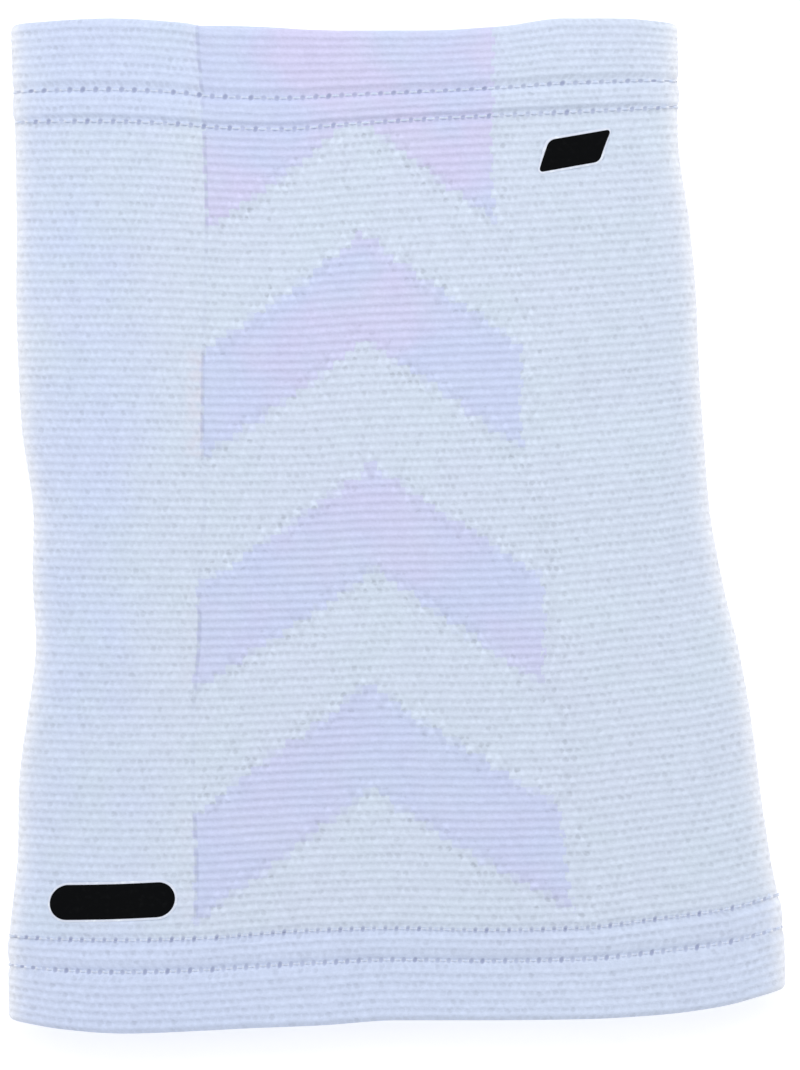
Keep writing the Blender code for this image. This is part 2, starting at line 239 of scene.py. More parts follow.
@dataclass(frozen=True)
class SleeveForm:
    """The flattened tube that every piece of the sleeve lies on, in the sizes of the solid model."""

    length: float = 252 * MM
    thigh_width: float = 191 * MM
    calf_width: float = 163.5 * MM
    calf_lean: float = 13.3 * MM
    lying_height: float = 12.5 * MM
    side_fold_height: float = 6.2 * MM
    front_fold_reach: float = 17 * MM
    back_fold_reach: float = 10 * MM
    knit_wall: float = 2.0 * MM
    thigh_hem_width: float = 23.2 * MM
    calf_hem_width: float = 25.6 * MM
    stitch_row_spacing: float = 7.9 * MM
    hem_thickness: float = 3.4 * MM
    hem_proud: float = 0.5 * MM
    groove_depth: float = 0.55 * MM
    groove_floor: float = 0.9 * MM
    groove_flank: float = 1.9 * MM
    courses: int = 94
    wales: int = 196

    @property
    def thigh_stitching(self) -> float:
        """Where the thigh hem's inner row of stitching lies along the sleeve."""
        return self.thigh_hem_width

    @property
    def calf_stitching(self) -> float:
        """Where the calf hem's inner row of stitching lies along the sleeve."""
        return self.length - self.calf_hem_width

    @property
    def course_pitch(self) -> float:
        """The height of one course."""
        return (self.calf_stitching - self.thigh_stitching) / self.courses

    def course(self, along: np.ndarray) -> np.ndarray:
        """The course at a place along, counted from the thigh hem's inner stitching."""
        return (along - self.thigh_stitching) / self.course_pitch

    def body_share(self, along: np.ndarray) -> np.ndarray:
        """The share of the body between the hems at a place along."""
        return (along - self.thigh_stitching) / (self.calf_stitching - self.thigh_stitching)

    def knit_y(self, across: np.ndarray, along: np.ndarray, on_back: np.ndarray) -> np.ndarray:
        """Y of places on the sleeve, with the waves of the rows that they lie between.

        Args:
            across: Shares across.
            along: Distances from the thigh mouth.
            on_back: Which places are on the back wall.

        Returns:
            Their y.
        """
        lines = np.array([0.0, self.thigh_stitching, self.calf_stitching, self.length])
        calf_mouth = np.where(
            on_back, smooth_table(WAVES, "calf_mouth_back", across), smooth_table(WAVES, "calf_mouth", across)
        )
        waves = [smooth_table(WAVES, column, across) for column in ("thigh_mouth", "thigh_row", "calf_row")]
        waves.append(calf_mouth)
        index = np.clip(np.searchsorted(lines, along, side="right") - 1, 0, 2)
        share = (along - lines[index]) / (lines[index + 1] - lines[index])
        low = np.select([index == i for i in range(3)], waves[:3])
        high = np.select([index == i for i in range(3)], waves[1:])
        return along - self.length / 2 + self.length * (low + share * (high - low))

    def side_edges(self, y: np.ndarray) -> tuple[np.ndarray, np.ndarray]:
        """X of the left and the right side fold.

        Args:
            y: Places along the sleeve.

        Returns:
            The left and the right x.
        """
        share = y / self.length + 0.5
        narrowed = smooth_table(SECTIONS, "narrowed", share)
        width = self.thigh_width + (self.calf_width - self.thigh_width) * narrowed
        middle = -self.calf_lean * smooth_table(SECTIONS, "lean", share)
        return middle - width / 2, middle + width / 2

    def stitched(self, along: np.ndarray) -> np.ndarray:
        """How hard the nearest row of stitching pulls the knit in, from 0 to 1.

        Args:
            along: Distances from the thigh mouth.

        Returns:
            The pull at each.
        """
        rows = (
            self.thigh_stitching - self.stitch_row_spacing, self.thigh_stitching,
            self.calf_stitching, self.calf_stitching + self.stitch_row_spacing,
        )
        nearest = np.min([np.abs(along - row) for row in rows], axis=0)
        share = np.clip((nearest - self.groove_floor / 2) / self.groove_flank, 0, 1)
        return 0.5 + 0.5 * np.cos(math.pi * share)

    def lift(self, along: np.ndarray, on_hem: bool) -> np.ndarray:
        """How far the outer face stands out past the body's plain face.

        Args:
            along: Distances from the thigh mouth.
            on_hem: Whether the face belongs to a hem.

        Returns:
            The lift at each.
        """
        level = self.hem_proud if on_hem else 0.0
        return level - self.stitched(along) * (level + self.groove_depth)

    def fold_rise(self, across: np.ndarray, reach: np.ndarray) -> np.ndarray:
        """How much of its height a wall has reached, on a quarter of an ellipse at each side fold.

        Args:
            across: Shares across.
            reach: How far from the fold the wall is level.

        Returns:
            The rise, from 0 to 1.
        """
        share = np.clip(np.minimum(across, 1 - across) * self.calf_width / reach, 0, 1)
        return np.sqrt(np.clip(1 - (1 - share) ** 2, 0, 1))

    def swell(self, across: np.ndarray, along: np.ndarray) -> np.ndarray:
        """What the swells and dents add to the front wall's height.

        Args:
            across: Shares across.
            along: Distances from the thigh mouth.

        Returns:
            The height that they add.
        """
        total = np.zeros(np.broadcast(across, along).shape)
        for swell in SWELLS:
            far_across = (across - swell.across) / swell.reach_across
            far_along = (along / self.length - swell.share) / swell.reach_share
            total = total + swell.height * np.exp(-far_across ** 2 - far_along ** 2)
        return self.lying_height * total

    def point(
        self, across: np.ndarray, along: np.ndarray, on_back: np.ndarray, depth: np.ndarray
    ) -> np.ndarray:
        """Points at a depth under the plain outer face. What stands proud on the back is pressed flat.

        Args:
            across: Shares across.
            along: Distances from the thigh mouth.
            on_back: Which places are on the back wall.
            depth: Depths below the outer face.

        Returns:
            The points, with x, y and z on the last axis.
        """
        across, along, on_back, depth = np.broadcast_arrays(across, along, on_back, depth)
        reach = np.where(on_back, self.back_fold_reach, self.front_fold_reach)
        rise = self.fold_rise(across, reach)
        depth = np.where(on_back, depth + np.maximum(-depth, 0) * rise, depth)
        above = self.lying_height - self.side_fold_height - depth + self.swell(across, along)
        z = self.side_fold_height + np.where(on_back, depth - self.side_fold_height, above) * rise
        y = self.knit_y(across, along, on_back)
        left, right = self.side_edges(y)
        return np.stack([left + depth + across * (right - left - 2 * depth), y, z], axis=-1)

    def columns(self, count: int, crowding: float) -> Columns:
        """Places round the tube, evenly spaced or closer together at the side folds.

        Args:
            count: How many.
            crowding: How much closer they stand at the folds, 0 for evenly spaced.

        Returns:
            The places, from the left fold over the front wall and back under the back wall.
        """
        fine = 3000
        share = 0.5 - 0.5 * np.cos(np.pi * np.arange(fine + 1) / fine)
        across = np.concatenate([share, share[-2::-1]])
        on_back = np.arange(len(across)) > fine
        ring = self.point(across, np.float64(self.length / 2), on_back, np.float64(0))
        steps = np.linalg.norm(np.diff(ring, axis=0), axis=1)
        length = np.concatenate([[0], np.cumsum(steps)])
        reach = 0.06
        near = np.exp(-(np.minimum(across, 1 - across) / reach) ** 2)
        weight = np.concatenate([[0], np.cumsum(steps * (1 + crowding * (near[1:] + near[:-1]) / 2))])
        at = np.interp(np.arange(count) / count * weight[-1], weight, np.arange(len(across)))
        return Columns(
            np.interp(at, np.arange(len(across)), across),
            at > fine,
            np.interp(at, np.arange(len(across)), length) / length[-1],
        )

    def place_of_turn(self, turn: np.ndarray) -> tuple[np.ndarray, np.ndarray]:
        """The places at shares of the way round the tube.

        Args:
            turn: Shares of the way round, from the left fold.

        Returns:
            Their across and on_back.
        """
        fine = 2400
        ring = self.columns(fine, 1.0)
        across = np.interp(turn % 1, np.append(ring.turn, 1), np.append(ring.across, 0))
        front = int(np.argmax(ring.across)) + 1
        right_fold = np.interp(1, ring.across[:front], ring.turn[:front])
        return across, turn % 1 > right_fold

    def girth(self, along: float) -> float:
        """The length round the tube.

        Args:
            along: Where, from the thigh mouth.

        Returns:
            The girth there.
        """
        fine = 600
        ring = self.columns(fine, 1.0)
        points = self.point(ring.across, np.float64(along), ring.on_back, np.float64(0))
        return float(np.linalg.norm(points - np.roll(points, 1, axis=0), axis=1).sum())

    def arm(self, across: np.ndarray, along: np.ndarray, on_back: np.ndarray) -> np.ndarray:
        """Where places lie in the chevron panel: -1 on its left line, 0 on its middle and 1 on its right.

        Args:
            across: Shares across.
            along: Distances from the thigh mouth.
            on_back: Which places are on the back wall, which has no panel.

        Returns:
            The arm coordinate, far outside -1 to 1 on the back.
        """
        share = self.body_share(along)
        left, middle, right = (smooth_table(PANEL, name, share) for name in ("left", "middle", "right"))
        arm = (across - middle) / np.where(across < middle, middle - left, right - middle)
        far = 9.0
        return np.where(on_back, far * np.sign(across - 0.5), arm)

    def chevron_rise(self, arm: np.ndarray, along: np.ndarray) -> np.ndarray:
        """Where the chevron bands stand proud, with soft edges.

        Args:
            arm: Arm coordinates.
            along: Distances from the thigh mouth.

        Returns:
            0 outside the bands and 1 inside.
        """
        edge = 0.006
        share = self.body_share(along)
        total = np.zeros(np.broadcast(arm, share).shape)
        for chevron in CHEVRONS:
            lowered = share + chevron.drop * np.abs(arm)
            total = total + smooth_step(chevron.notch - edge, chevron.notch + edge, lowered) * smooth_step(
                -chevron.tip - edge, edge - chevron.tip, -lowered
            )
        return total * smooth_step(-1 - 3 * edge, 3 * edge - 1, -np.abs(arm))


class NodeSketch:
    """Adds nodes to one tree and links them, so that a material reads as a list of steps."""

    def __init__(self, tree: bpy.types.NodeTree) -> None:
        """Keeps the tree that the nodes go into."""
        self.tree = tree

    def add(self, kind: str, feeds: dict | None = None, **settings: object) -> bpy.types.Node:
        """Adds a node.

        Args:
            kind: The node's type.
            feeds: Values or sockets for its inputs, by name or number.
            settings: Values for its properties.

        Returns:
            The node.
        """
        node = self.tree.nodes.new(kind)
        for name, value in settings.items():
            setattr(node, name, value)
        for key, value in (feeds or {}).items():
            self.feed(node.inputs[key], value)
        return node

    def feed(self, socket: bpy.types.NodeSocket, value: object) -> None:
        """Links a socket to an input, or sets the input to a value.

        Args:
            socket: The input.
            value: A socket, a number or a colour.
        """
        if isinstance(value, bpy.types.NodeSocket):
            self.tree.links.new(value, socket)
        else:
            socket.default_value = value

    def math(self, operation: str, *values: object) -> bpy.types.NodeSocket:
        """Adds a Math node.

        Args:
            operation: Its operation.
            values: Its inputs.

        Returns:
            Its output.
        """
        return self.add("ShaderNodeMath", dict(enumerate(values)), operation=operation).outputs[0]

    def between(
        self, value: object, low: float, high: float, to_low: float = 0.0, to_high: float = 1.0
    ) -> bpy.types.NodeSocket:
        """Maps a range softly to another and stays inside it.

        Args:
            value: What is mapped.
            low: Start of its range.
            high: End of its range.
            to_low: What low becomes.
            to_high: What high becomes.

        Returns:
            The mapped value.
        """
        node = self.add("ShaderNodeMapRange", dict(enumerate((value, low, high, to_low, to_high))))
        node.interpolation_type = "SMOOTHSTEP"
        return node.outputs[0]

    def mix(self, share: object, first: object, second: object, blend: str = "MIX") -> bpy.types.NodeSocket:
        """Mixes two colours.

        Args:
            share: How much of the second.
            first: The first colour.
            second: The second colour.
            blend: How they are mixed.

        Returns:
            The mixed colour.
        """
        feeds = {0: share, 6: first, 7: second}
        return self.add("ShaderNodeMix", feeds, data_type="RGBA", blend_type=blend).outputs[2]

    def noise(self, place: object, scale: float, detail: float = 2.0) -> bpy.types.NodeSocket:
        """A noise texture's value.

        Args:
            place: Where it is read.
            scale: How many lumps there are to a unit.
            detail: How many finer layers it has.

        Returns:
            The value, about 0.5 on average.
        """
        feeds = {"Vector": place, "Scale": scale, "Detail": detail}
        return self.add("ShaderNodeTexNoise", feeds).outputs["Fac"]

    def place(self) -> bpy.types.NodeSocket:
        """The place on the object, in metres."""
        return self.add("ShaderNodeTexCoord").outputs["Object"]

    def parts(self, vector: object) -> tuple[bpy.types.NodeSocket, ...]:
        """The x, y and z of a vector."""
        return tuple(self.add("ShaderNodeSeparateXYZ", {0: vector}).outputs)

    def moved(self, vector: object, by: object, operation: str = "ADD") -> bpy.types.NodeSocket:
        """A vector plus another one, or with another operation."""
        return self.add("ShaderNodeVectorMath", {0: vector, 1: by}, operation=operation).outputs[0]

    def drift(self, place: object, scale: float) -> tuple[bpy.types.NodeSocket, ...]:
        """Noises that don't follow each other.

        Args:
            place: Where they are read.
            scale: How many lumps there are to a unit.

        Returns:
            Three values, each about 0.5 on average.
        """
        feeds = {"Vector": place, "Scale": scale, "Detail": 2}
        colour = self.add("ShaderNodeTexNoise", feeds).outputs["Color"]
        return tuple(self.add("ShaderNodeSeparateColor", {0: colour}).outputs)

    def shaded(self, colour: object, shade: object) -> bpy.types.NodeSocket:
        """A colour times a grey.

        Args:
            colour: The colour.
            shade: The grey's value.

        Returns:
            The lighter or darker colour.
        """
        grey = self.add("ShaderNodeCombineColor", {0: shade, 1: shade, 2: shade}).outputs[0]
        return self.mix(1.0, colour, grey, "MULTIPLY")

    def oval(
        self, x: object, y: object, half_sizes: tuple[float, float], reach: float
    ) -> bpy.types.NodeSocket:
        """A soft oval spot about the origin.

        Args:
            x: The first coordinate.
            y: The second coordinate.
            half_sizes: Its half width and half height.
            reach: Where it ends, in the square of its half sizes.

        Returns:
            1 in its middle and 0 outside.
        """
        shares = [self.math("DIVIDE", value, half) for value, half in zip((x, y), half_sizes)]
        wide, tall = (self.math("POWER", share, 2.0) for share in shares)
        return self.between(self.math("ADD", wide, tall), reach, 0.0)

    def strip(
        self, value: object, start: float, full: float, last_full: float, end: float
    ) -> bpy.types.NodeSocket:
        """Where a value lies in a strip with soft sides.

        Args:
            value: The value.
            start: Where the strip begins to show.
            full: From where it shows fully.
            last_full: To where it shows fully.
            end: Where it ends.

        Returns:
            1 inside and 0 outside.
        """
        return self.math("MULTIPLY", self.between(value, start, full), self.between(value, end, last_full))

    def group(self, tree: bpy.types.NodeTree, **feeds: object) -> bpy.types.Node:
        """Places a node group.

        Args:
            tree: The group.
            feeds: Its inputs, with _ for a space.

        Returns:
            The group's node.
        """
        node = self.tree.nodes.new("ShaderNodeGroup")
        node.node_tree = tree
        for name, value in feeds.items():
            self.feed(node.inputs[name.replace("_", " ")], value)
        return node


class SocketKind(Enum):
    """The kinds of socket that the shared groups have."""

    NUMBER = "NodeSocketFloat"
    COLOUR = "NodeSocketColor"
    VECTOR = "NodeSocketVector"


def numbers(*names: str) -> dict[str, SocketKind]:
    """Number sockets with these names."""
    return dict.fromkeys(names, SocketKind.NUMBER)


def shared_group(
    name: str, takes: dict[str, SocketKind], gives: dict[str, SocketKind]
) -> tuple[bpy.types.NodeTree, NodeSketch, dict[str, bpy.types.NodeSocket], bpy.types.Node]:
    """Starts a shader node group.

    Args:
        name: The group's name.
        takes: Its inputs.
        gives: Its outputs.

    Returns:
        The group, its sketch, its inputs as sockets to read, and the node that takes its outputs.
    """
    tree = bpy.data.node_groups.new(name, "ShaderNodeTree")
    for socket, kind in takes.items():
        tree.interface.new_socket(name=socket, in_out="INPUT", socket_type=kind.value)
    for socket, kind in gives.items():
        tree.interface.new_socket(name=socket, in_out="OUTPUT", socket_type=kind.value)
    given = tree.nodes.new("NodeGroupInput").outputs
    return tree, NodeSketch(tree), {name: given[name] for name in takes}, tree.nodes.new("NodeGroupOutput")


def chevron_band_group() -> bpy.types.NodeTree:
    """A mask of one chevron band, and of the stitches along its two slanted edges.

    Returns:
        A group from Share, Arm, Tip, Notch, Drop and Random to Band and Edge. Random lets single stitches
        stray over the edges.
    """
    takes = numbers("Share", "Arm", "Tip", "Notch", "Drop", "Random")
    tree, sketch, given, out = shared_group("chevron_band", takes, numbers("Band", "Edge"))
    stray = 0.009
    fade = 0.004
    edge_reach = 0.017
    reach = sketch.math("ABSOLUTE", given["Arm"])
    inside = sketch.math("LESS_THAN", reach, 1.0)
    lowered = sketch.math("MULTIPLY_ADD", reach, given["Drop"], given["Share"])
    strayed = sketch.math("ADD", lowered, sketch.math("MULTIPLY_ADD", given["Random"], stray, -stray / 2))
    above = sketch.between(sketch.math("SUBTRACT", strayed, given["Notch"]), -fade, fade)
    below = sketch.between(sketch.math("SUBTRACT", strayed, given["Tip"]), fade, -fade)
    band = sketch.math("MULTIPLY", sketch.math("MULTIPLY", above, below), inside)
    sketch.feed(out.inputs["Band"], band)
    to_notch, to_tip = (
        sketch.math("ABSOLUTE", sketch.math("SUBTRACT", lowered, given[end])) for end in ("Notch", "Tip")
    )
    near = sketch.math("LESS_THAN", sketch.math("MINIMUM", to_notch, to_tip), edge_reach)
    sketch.feed(out.inputs["Edge"], sketch.math("MULTIPLY", near, inside))
    return tree


def stitch_cell_group() -> bpy.types.NodeTree:
    """The single stitch that a place belongs to. Every other course is shifted by half a wale.

    Returns:
        A group from Wale and Course to the cell's middle, the ridge and loop waves, the yarn's strands, which
        run in a V through each stitch, the gap between four stitches, and random values.
    """
    gives = numbers("Cell Wale", "Cell Course", "Ridge", "Loop", "Strand", "Gap", "Random", "Gap Random")
    tree, sketch, given, out = shared_group("stitch_cell", numbers("Wale", "Course"), gives)
    strands = 3.0
    strand_lean = -1.2
    gap_half_sizes = (0.46, 0.36)
    gap_reach = 1.2

    def shifted_wale(course: object) -> bpy.types.NodeSocket:
        """The wale, shifted by half on every other course."""
        shift = sketch.math("MULTIPLY", sketch.math("MODULO", sketch.math("ABSOLUTE", course), 2.0), 0.5)
        return sketch.math("ADD", given["Wale"], shift)

    def wave(value: object) -> bpy.types.NodeSocket:
        """1 at whole numbers and 0 half way between."""
        turn = sketch.math("MULTIPLY", value, 2 * math.pi)
        return sketch.math("MULTIPLY_ADD", sketch.math("COSINE", turn), 0.5, 0.5)

    def chance(wale: object, course: object, kind: float) -> bpy.types.NodeSocket:
        """A random value for one cell."""
        spot = sketch.add("ShaderNodeCombineXYZ", {0: wale, 1: course, 2: kind}).outputs[0]
        return sketch.add("ShaderNodeTexWhiteNoise", {"Vector": spot}, noise_dimensions="3D").outputs["Value"]

    course = sketch.math("FLOOR", sketch.math("ADD", given["Course"], 0.5))
    shifted = shifted_wale(course)
    index = sketch.math("FLOOR", sketch.math("ADD", shifted, 0.5))
    into = sketch.math("SUBTRACT", shifted, index)
    above = sketch.math("SUBTRACT", given["Course"], course)
    leaning = sketch.math("MULTIPLY_ADD", sketch.math("ABSOLUTE", into), strand_lean, above)

    below = sketch.math("FLOOR", given["Course"])
    beside = shifted_wale(below)
    gap_index = sketch.math("FLOOR", beside)
    gap_x = sketch.math("SUBTRACT", sketch.math("SUBTRACT", beside, gap_index), 0.5)
    gap_y = sketch.math("SUBTRACT", sketch.math("SUBTRACT", given["Course"], below), 0.5)

    sketch.feed(out.inputs["Cell Wale"], sketch.math("SUBTRACT", given["Wale"], into))
    sketch.feed(out.inputs["Cell Course"], course)
    sketch.feed(out.inputs["Ridge"], wave(given["Course"]))
    sketch.feed(out.inputs["Loop"], wave(shifted))
    sketch.feed(out.inputs["Strand"], wave(sketch.math("MULTIPLY", leaning, strands)))
    sketch.feed(out.inputs["Gap"], sketch.oval(gap_x, gap_y, gap_half_sizes, gap_reach))
    sketch.feed(out.inputs["Random"], chance(index, course, 0.0))
    sketch.feed(out.inputs["Gap Random"], chance(gap_index, below, 5.0))
    return tree


def knit_face_group() -> bpy.types.NodeTree:
    """How one stitch is lit and raised: open bird's-eye stitches, or a closer stitch in smooth ridges.

    Returns:
        A group from the stitch cell's values, Unevenness, Closeness and Edge to Shade, about 1 on average,
        and Height, from 0 to about 1. Shade is painted light and shade: painted shade in the valleys and
        gaps, and a painted highlight on the crowns and strands. Unevenness varies the gaps, and Edge adds
        painted highlights on lit stitches and painted shade in sunk ones.
    """
    takes = numbers(
        "Ridge", "Loop", "Strand", "Gap", "Random", "Gap Random", "Unevenness", "Closeness", "Edge"
    )
    tree, sketch, given, out = shared_group("knit_face", takes, numbers("Shade", "Height"))
    multiply, add = "MULTIPLY", "MULTIPLY_ADD"
    open_level, open_gap, open_valley, open_crown = 0.020, -0.062, -0.020, 0.040
    close_level, close_valley, close_crown = 0.026, -0.062, 0.026
    groove_by_gap = 0.26
    strand_light = 0.018
    strand_height, gap_height, loop_height = 0.16, -0.35, 0.6

    valley = sketch.math("SUBTRACT", 1.0, given["Ridge"])
    crown = sketch.math(multiply, given["Ridge"], given["Loop"])
    depth = sketch.math(add, sketch.math("POWER", given["Gap Random"], 1.4), 1.5, 0.32)
    gap = sketch.math(multiply, given["Gap"], sketch.math(multiply, depth, given["Unevenness"]))
    varied_crown = sketch.math(multiply, crown, sketch.math(add, given["Random"], 1.4, 0.3))

    open_face = sketch.math(add, gap, open_gap, open_level)
    open_face = sketch.math(add, valley, open_valley, open_face)
    open_face = sketch.math(add, varied_crown, open_crown, open_face)

    groove = sketch.math(add, gap, groove_by_gap, 1 - groove_by_gap)
    close_face = sketch.math(add, sketch.math(multiply, valley, groove), close_valley, close_level)
    close_face = sketch.math(add, varied_crown, close_crown, close_face)

    change = sketch.math("SUBTRACT", close_face, open_face)
    face = sketch.math(add, change, given["Closeness"], open_face)
    # Painted highlights on lit crowns and painted shade in sunk gaps, for the stitches along the panel's
    # edges.
    glint = sketch.math(add, given["Random"], 0.15, -0.08)
    lit = sketch.math(multiply, sketch.math("POWER", crown, 0.6), glint)
    sunk = sketch.math(multiply, given["Gap"], sketch.math("POWER", given["Gap Random"], 2.0))
    edge_light_and_shade = sketch.math(multiply, sketch.math(add, sunk, -0.11, lit), given["Edge"])
    strand = sketch.math(add, given["Strand"], strand_light, 1 - strand_light / 2)
    sketch.feed(out.inputs["Shade"], sketch.math("ADD", sketch.math("ADD", face, edge_light_and_shade), strand))
    loops = sketch.math(add, given["Loop"], loop_height, 1 - loop_height)
    bumps = sketch.math(multiply, given["Ridge"], loops)
    bumps = sketch.math(add, given["Gap"], gap_height, bumps)
    sketch.feed(out.inputs["Height"], sketch.math(add, given["Strand"], strand_height, bumps))
    return tree


def mottle_group() -> bpy.types.NodeTree:
    """Drifts a yarn's colour softly towards two others, as uneven dye and light through the knit do.

    Returns:
        A group from Place, Base, Warm, Cool, Warm Share and Cool Share to Colour.
    """
    takes = {
        "Place": SocketKind.VECTOR, "Base": SocketKind.COLOUR, "Warm": SocketKind.COLOUR,
        "Cool": SocketKind.COLOUR, **numbers("Warm Share", "Cool Share"),
    }
    tree, sketch, given, out = shared_group("mottle", takes, {"Colour": SocketKind.COLOUR})

    def patches(start: tuple[float, float, float], scale: float, detail: float) -> bpy.types.NodeSocket:
        """Noise that starts from another place, so that the two colours drift apart."""
        return sketch.noise(sketch.moved(given["Place"], start), scale, detail)

    warm = sketch.between(patches((0.23, 0.61, 0.0), 38, 3), 0.36, 0.66)
    cool = sketch.between(patches((0.7, 0.3, 0.0), 60, 2), 0.42, 0.70)
    first = sketch.mix(sketch.math("MULTIPLY", warm, given["Warm Share"]), given["Base"], given["Warm"])
    second = sketch.mix(sketch.math("MULTIPLY", cool, given["Cool Share"]), first, given["Cool"])
    sketch.feed(out.inputs["Colour"], second)
    return tree


def needle_hole_shade_group() -> bpy.types.NodeTree:
    """Painted shade in the needle holes along one row of stitching, as dark ovals.

    Returns:
        A group from Wale, Course, Seam, Rate and Start to Hole. Seam is the row's course, Rate the stitches
        to a wale, and Start shifts them.
    """
    takes = numbers("Wale", "Course", "Seam", "Rate", "Start")
    tree, sketch, given, out = shared_group("needle_hole_shade", takes, numbers("Hole"))
    half_sizes = (0.18, 0.36)
    reach = 2.2
    phase = sketch.math("MULTIPLY_ADD", given["Wale"], given["Rate"], given["Start"])
    stitch = sketch.math("FLOOR", sketch.math("ADD", phase, 0.5))
    random = sketch.add("ShaderNodeTexWhiteNoise", {"W": stitch}, noise_dimensions="1D").outputs["Value"]
    away = sketch.math("SUBTRACT", given["Course"], given["Seam"])
    slant = sketch.math("MULTIPLY", away, sketch.math("MULTIPLY_ADD", random, 0.14, 0.02))
    beside = sketch.math("SUBTRACT", sketch.math("SUBTRACT", phase, stitch), slant)
    spot = sketch.oval(beside, away, half_sizes, reach)
    darkness = sketch.math("MULTIPLY_ADD", random, 0.60, 0.38)
    sketch.feed(out.inputs["Hole"], sketch.math("MULTIPLY", spot, darkness))
    return tree


def fibre_group() -> bpy.types.NodeTree:
    """The fine fuzz of spun yarn.

    Returns:
        A group from Place to Shade, about 1 on average, and Height, from 0 to 1.
    """
    takes = {"Place": SocketKind.VECTOR}
    tree, sketch, given, out = shared_group("fibre", takes, numbers("Shade", "Height"))
    contrast = 0.16
    fine = sketch.noise(sketch.moved(given["Place"], (1.0, 2.2, 1.6), "MULTIPLY"), 1500, 3)
    sketch.feed(out.inputs["Height"], fine)
    sketch.feed(out.inputs["Shade"], sketch.math("MULTIPLY_ADD", fine, contrast, 1 - contrast / 2))
    return tree


def painted_fold_sheen_group() -> bpy.types.NodeTree:
    """Paints a sheen: fades a colour towards a lighter one where the surface turns sideways, as at the side
    folds. This lighter edge is a painted highlight.

    Returns:
        A group from Colour and the painted highlight's colour to Colour.
    """
    takes = dict.fromkeys(("Colour", "Fold"), SocketKind.COLOUR)
    tree, sketch, given, out = shared_group("painted_fold_sheen", takes, {"Colour": SocketKind.COLOUR})
    normal = sketch.add("ShaderNodeNewGeometry").outputs["Normal"]
    sideways = sketch.math("ABSOLUTE", sketch.parts(normal)[0])
    # The painted highlight grows as the surface turns sideways.
    fade = sketch.between(sideways, 0.10, 0.90, 0.0, 0.82)
    sketch.feed(out.inputs["Colour"], sketch.mix(fade, given["Colour"], given["Fold"]))
    return tree


@dataclass(frozen=True)
class SharedEffects:
    """The node groups that the materials share, each built once."""

    chevron_band: bpy.types.NodeTree = field(default_factory=chevron_band_group)
    stitch_cell: bpy.types.NodeTree = field(default_factory=stitch_cell_group)
    knit_face: bpy.types.NodeTree = field(default_factory=knit_face_group)
    mottle: bpy.types.NodeTree = field(default_factory=mottle_group)
    needle_hole_shade: bpy.types.NodeTree = field(default_factory=needle_hole_shade_group)
    fibre: bpy.types.NodeTree = field(default_factory=fibre_group)
    painted_fold_sheen: bpy.types.NodeTree = field(default_factory=painted_fold_sheen_group)


def seen_colour(red: int, green: int, blue: int) -> tuple[float, float, float, float]:
    """A colour as it is seen on a screen, from 0 to 255, as the shader's linear one.

    Args:
        red: Its red.
        green: Its green.
        blue: Its blue.

    Returns:
        The linear colour, with alpha 1.
    """
    def linear(value: float) -> float:
        """One channel from 0 to 1."""
        return value / 12.92 if value <= 0.04045 else ((value + 0.055) / 1.055) ** 2.4

    return (*(linear(value / 255) for value in (red, green, blue)), 1.0)


def new_material(name: str) -> tuple[bpy.types.Material, NodeSketch, bpy.types.Node]:
    """Starts a material.

    Args:
        name: Its name.

    Returns:
        The material, the sketch of its nodes and its Principled BSDF.
    """
    material = bpy.data.materials.new(name)
    material.use_nodes = True
    return material, NodeSketch(material.node_tree), material.node_tree.nodes["Principled BSDF"]


def mesh_object(name: str, points: np.ndarray, faces: list, material: bpy.types.Material) -> bpy.types.Object:
    """Adds a smooth mesh to the scene.

    Args:
        name: Its name.
        points: Its points, with x, y and z on the last axis.
        faces: The numbers of each face's points.
        material: Its material.

    Returns:
        The object.
    """
    mesh = bpy.data.meshes.new(name)
    mesh.from_pydata(points.reshape(-1, 3).tolist(), [], faces)
    mesh.shade_smooth()
    mesh.materials.append(material)
    made = bpy.data.objects.new(name, mesh)
    bpy.context.scene.collection.objects.link(made)
    return made


@dataclass(frozen=True)
class KnitFinish:
    """The knit's yarn colours and the colours of its painted sheen, highlight and shade, as seen, and its
    surface.
    """

    pale: SeenColour = (207, 217, 234)
    lavender: SeenColour = (199, 208, 237)
    periwinkle: SeenColour = (203, 214, 239)
    pinkish: SeenColour = (209, 203, 235)
    greenish: SeenColour = (205, 219, 231)
    # The paler colour of the painted sheen where the knit turns sideways at the side folds.
    fold: SeenColour = (238, 240, 247)
    # The painted shade of the needle holes, and of the fine line in the panel's edge crease.
    hole: SeenColour = (152, 160, 192)
    # The warm painted highlight beside the panel's left edge crease.
    crease_highlight: SeenColour = (216, 214, 228)
    roughness: float = 0.88
    crown_polish: float = 0.06
    sheen: float = 0.25
    sheen_roughness: float = 0.45
    specular: float = 0.25
    bump_strength: float = 0.5
    bump_depth: float = 0.22 * MM


class PanelKind(Enum):
    """What the chevron panel's place holds on a piece."""

    CHEVRONS = "chevrons"
    FILLED = "filled"
    PLAIN = "plain"


class StitchRow(NamedTuple):
    """A row of hem stitching: its place along the sleeve, its stitches and a shift of them."""

    name: str
    along: float
    stitches: int
    start: float


class Wander(NamedTuple):
    """How far the yarn strays from its stitch, in courses and wales, in lumps of one size."""

    scale: float
    courses: float
    wales: float


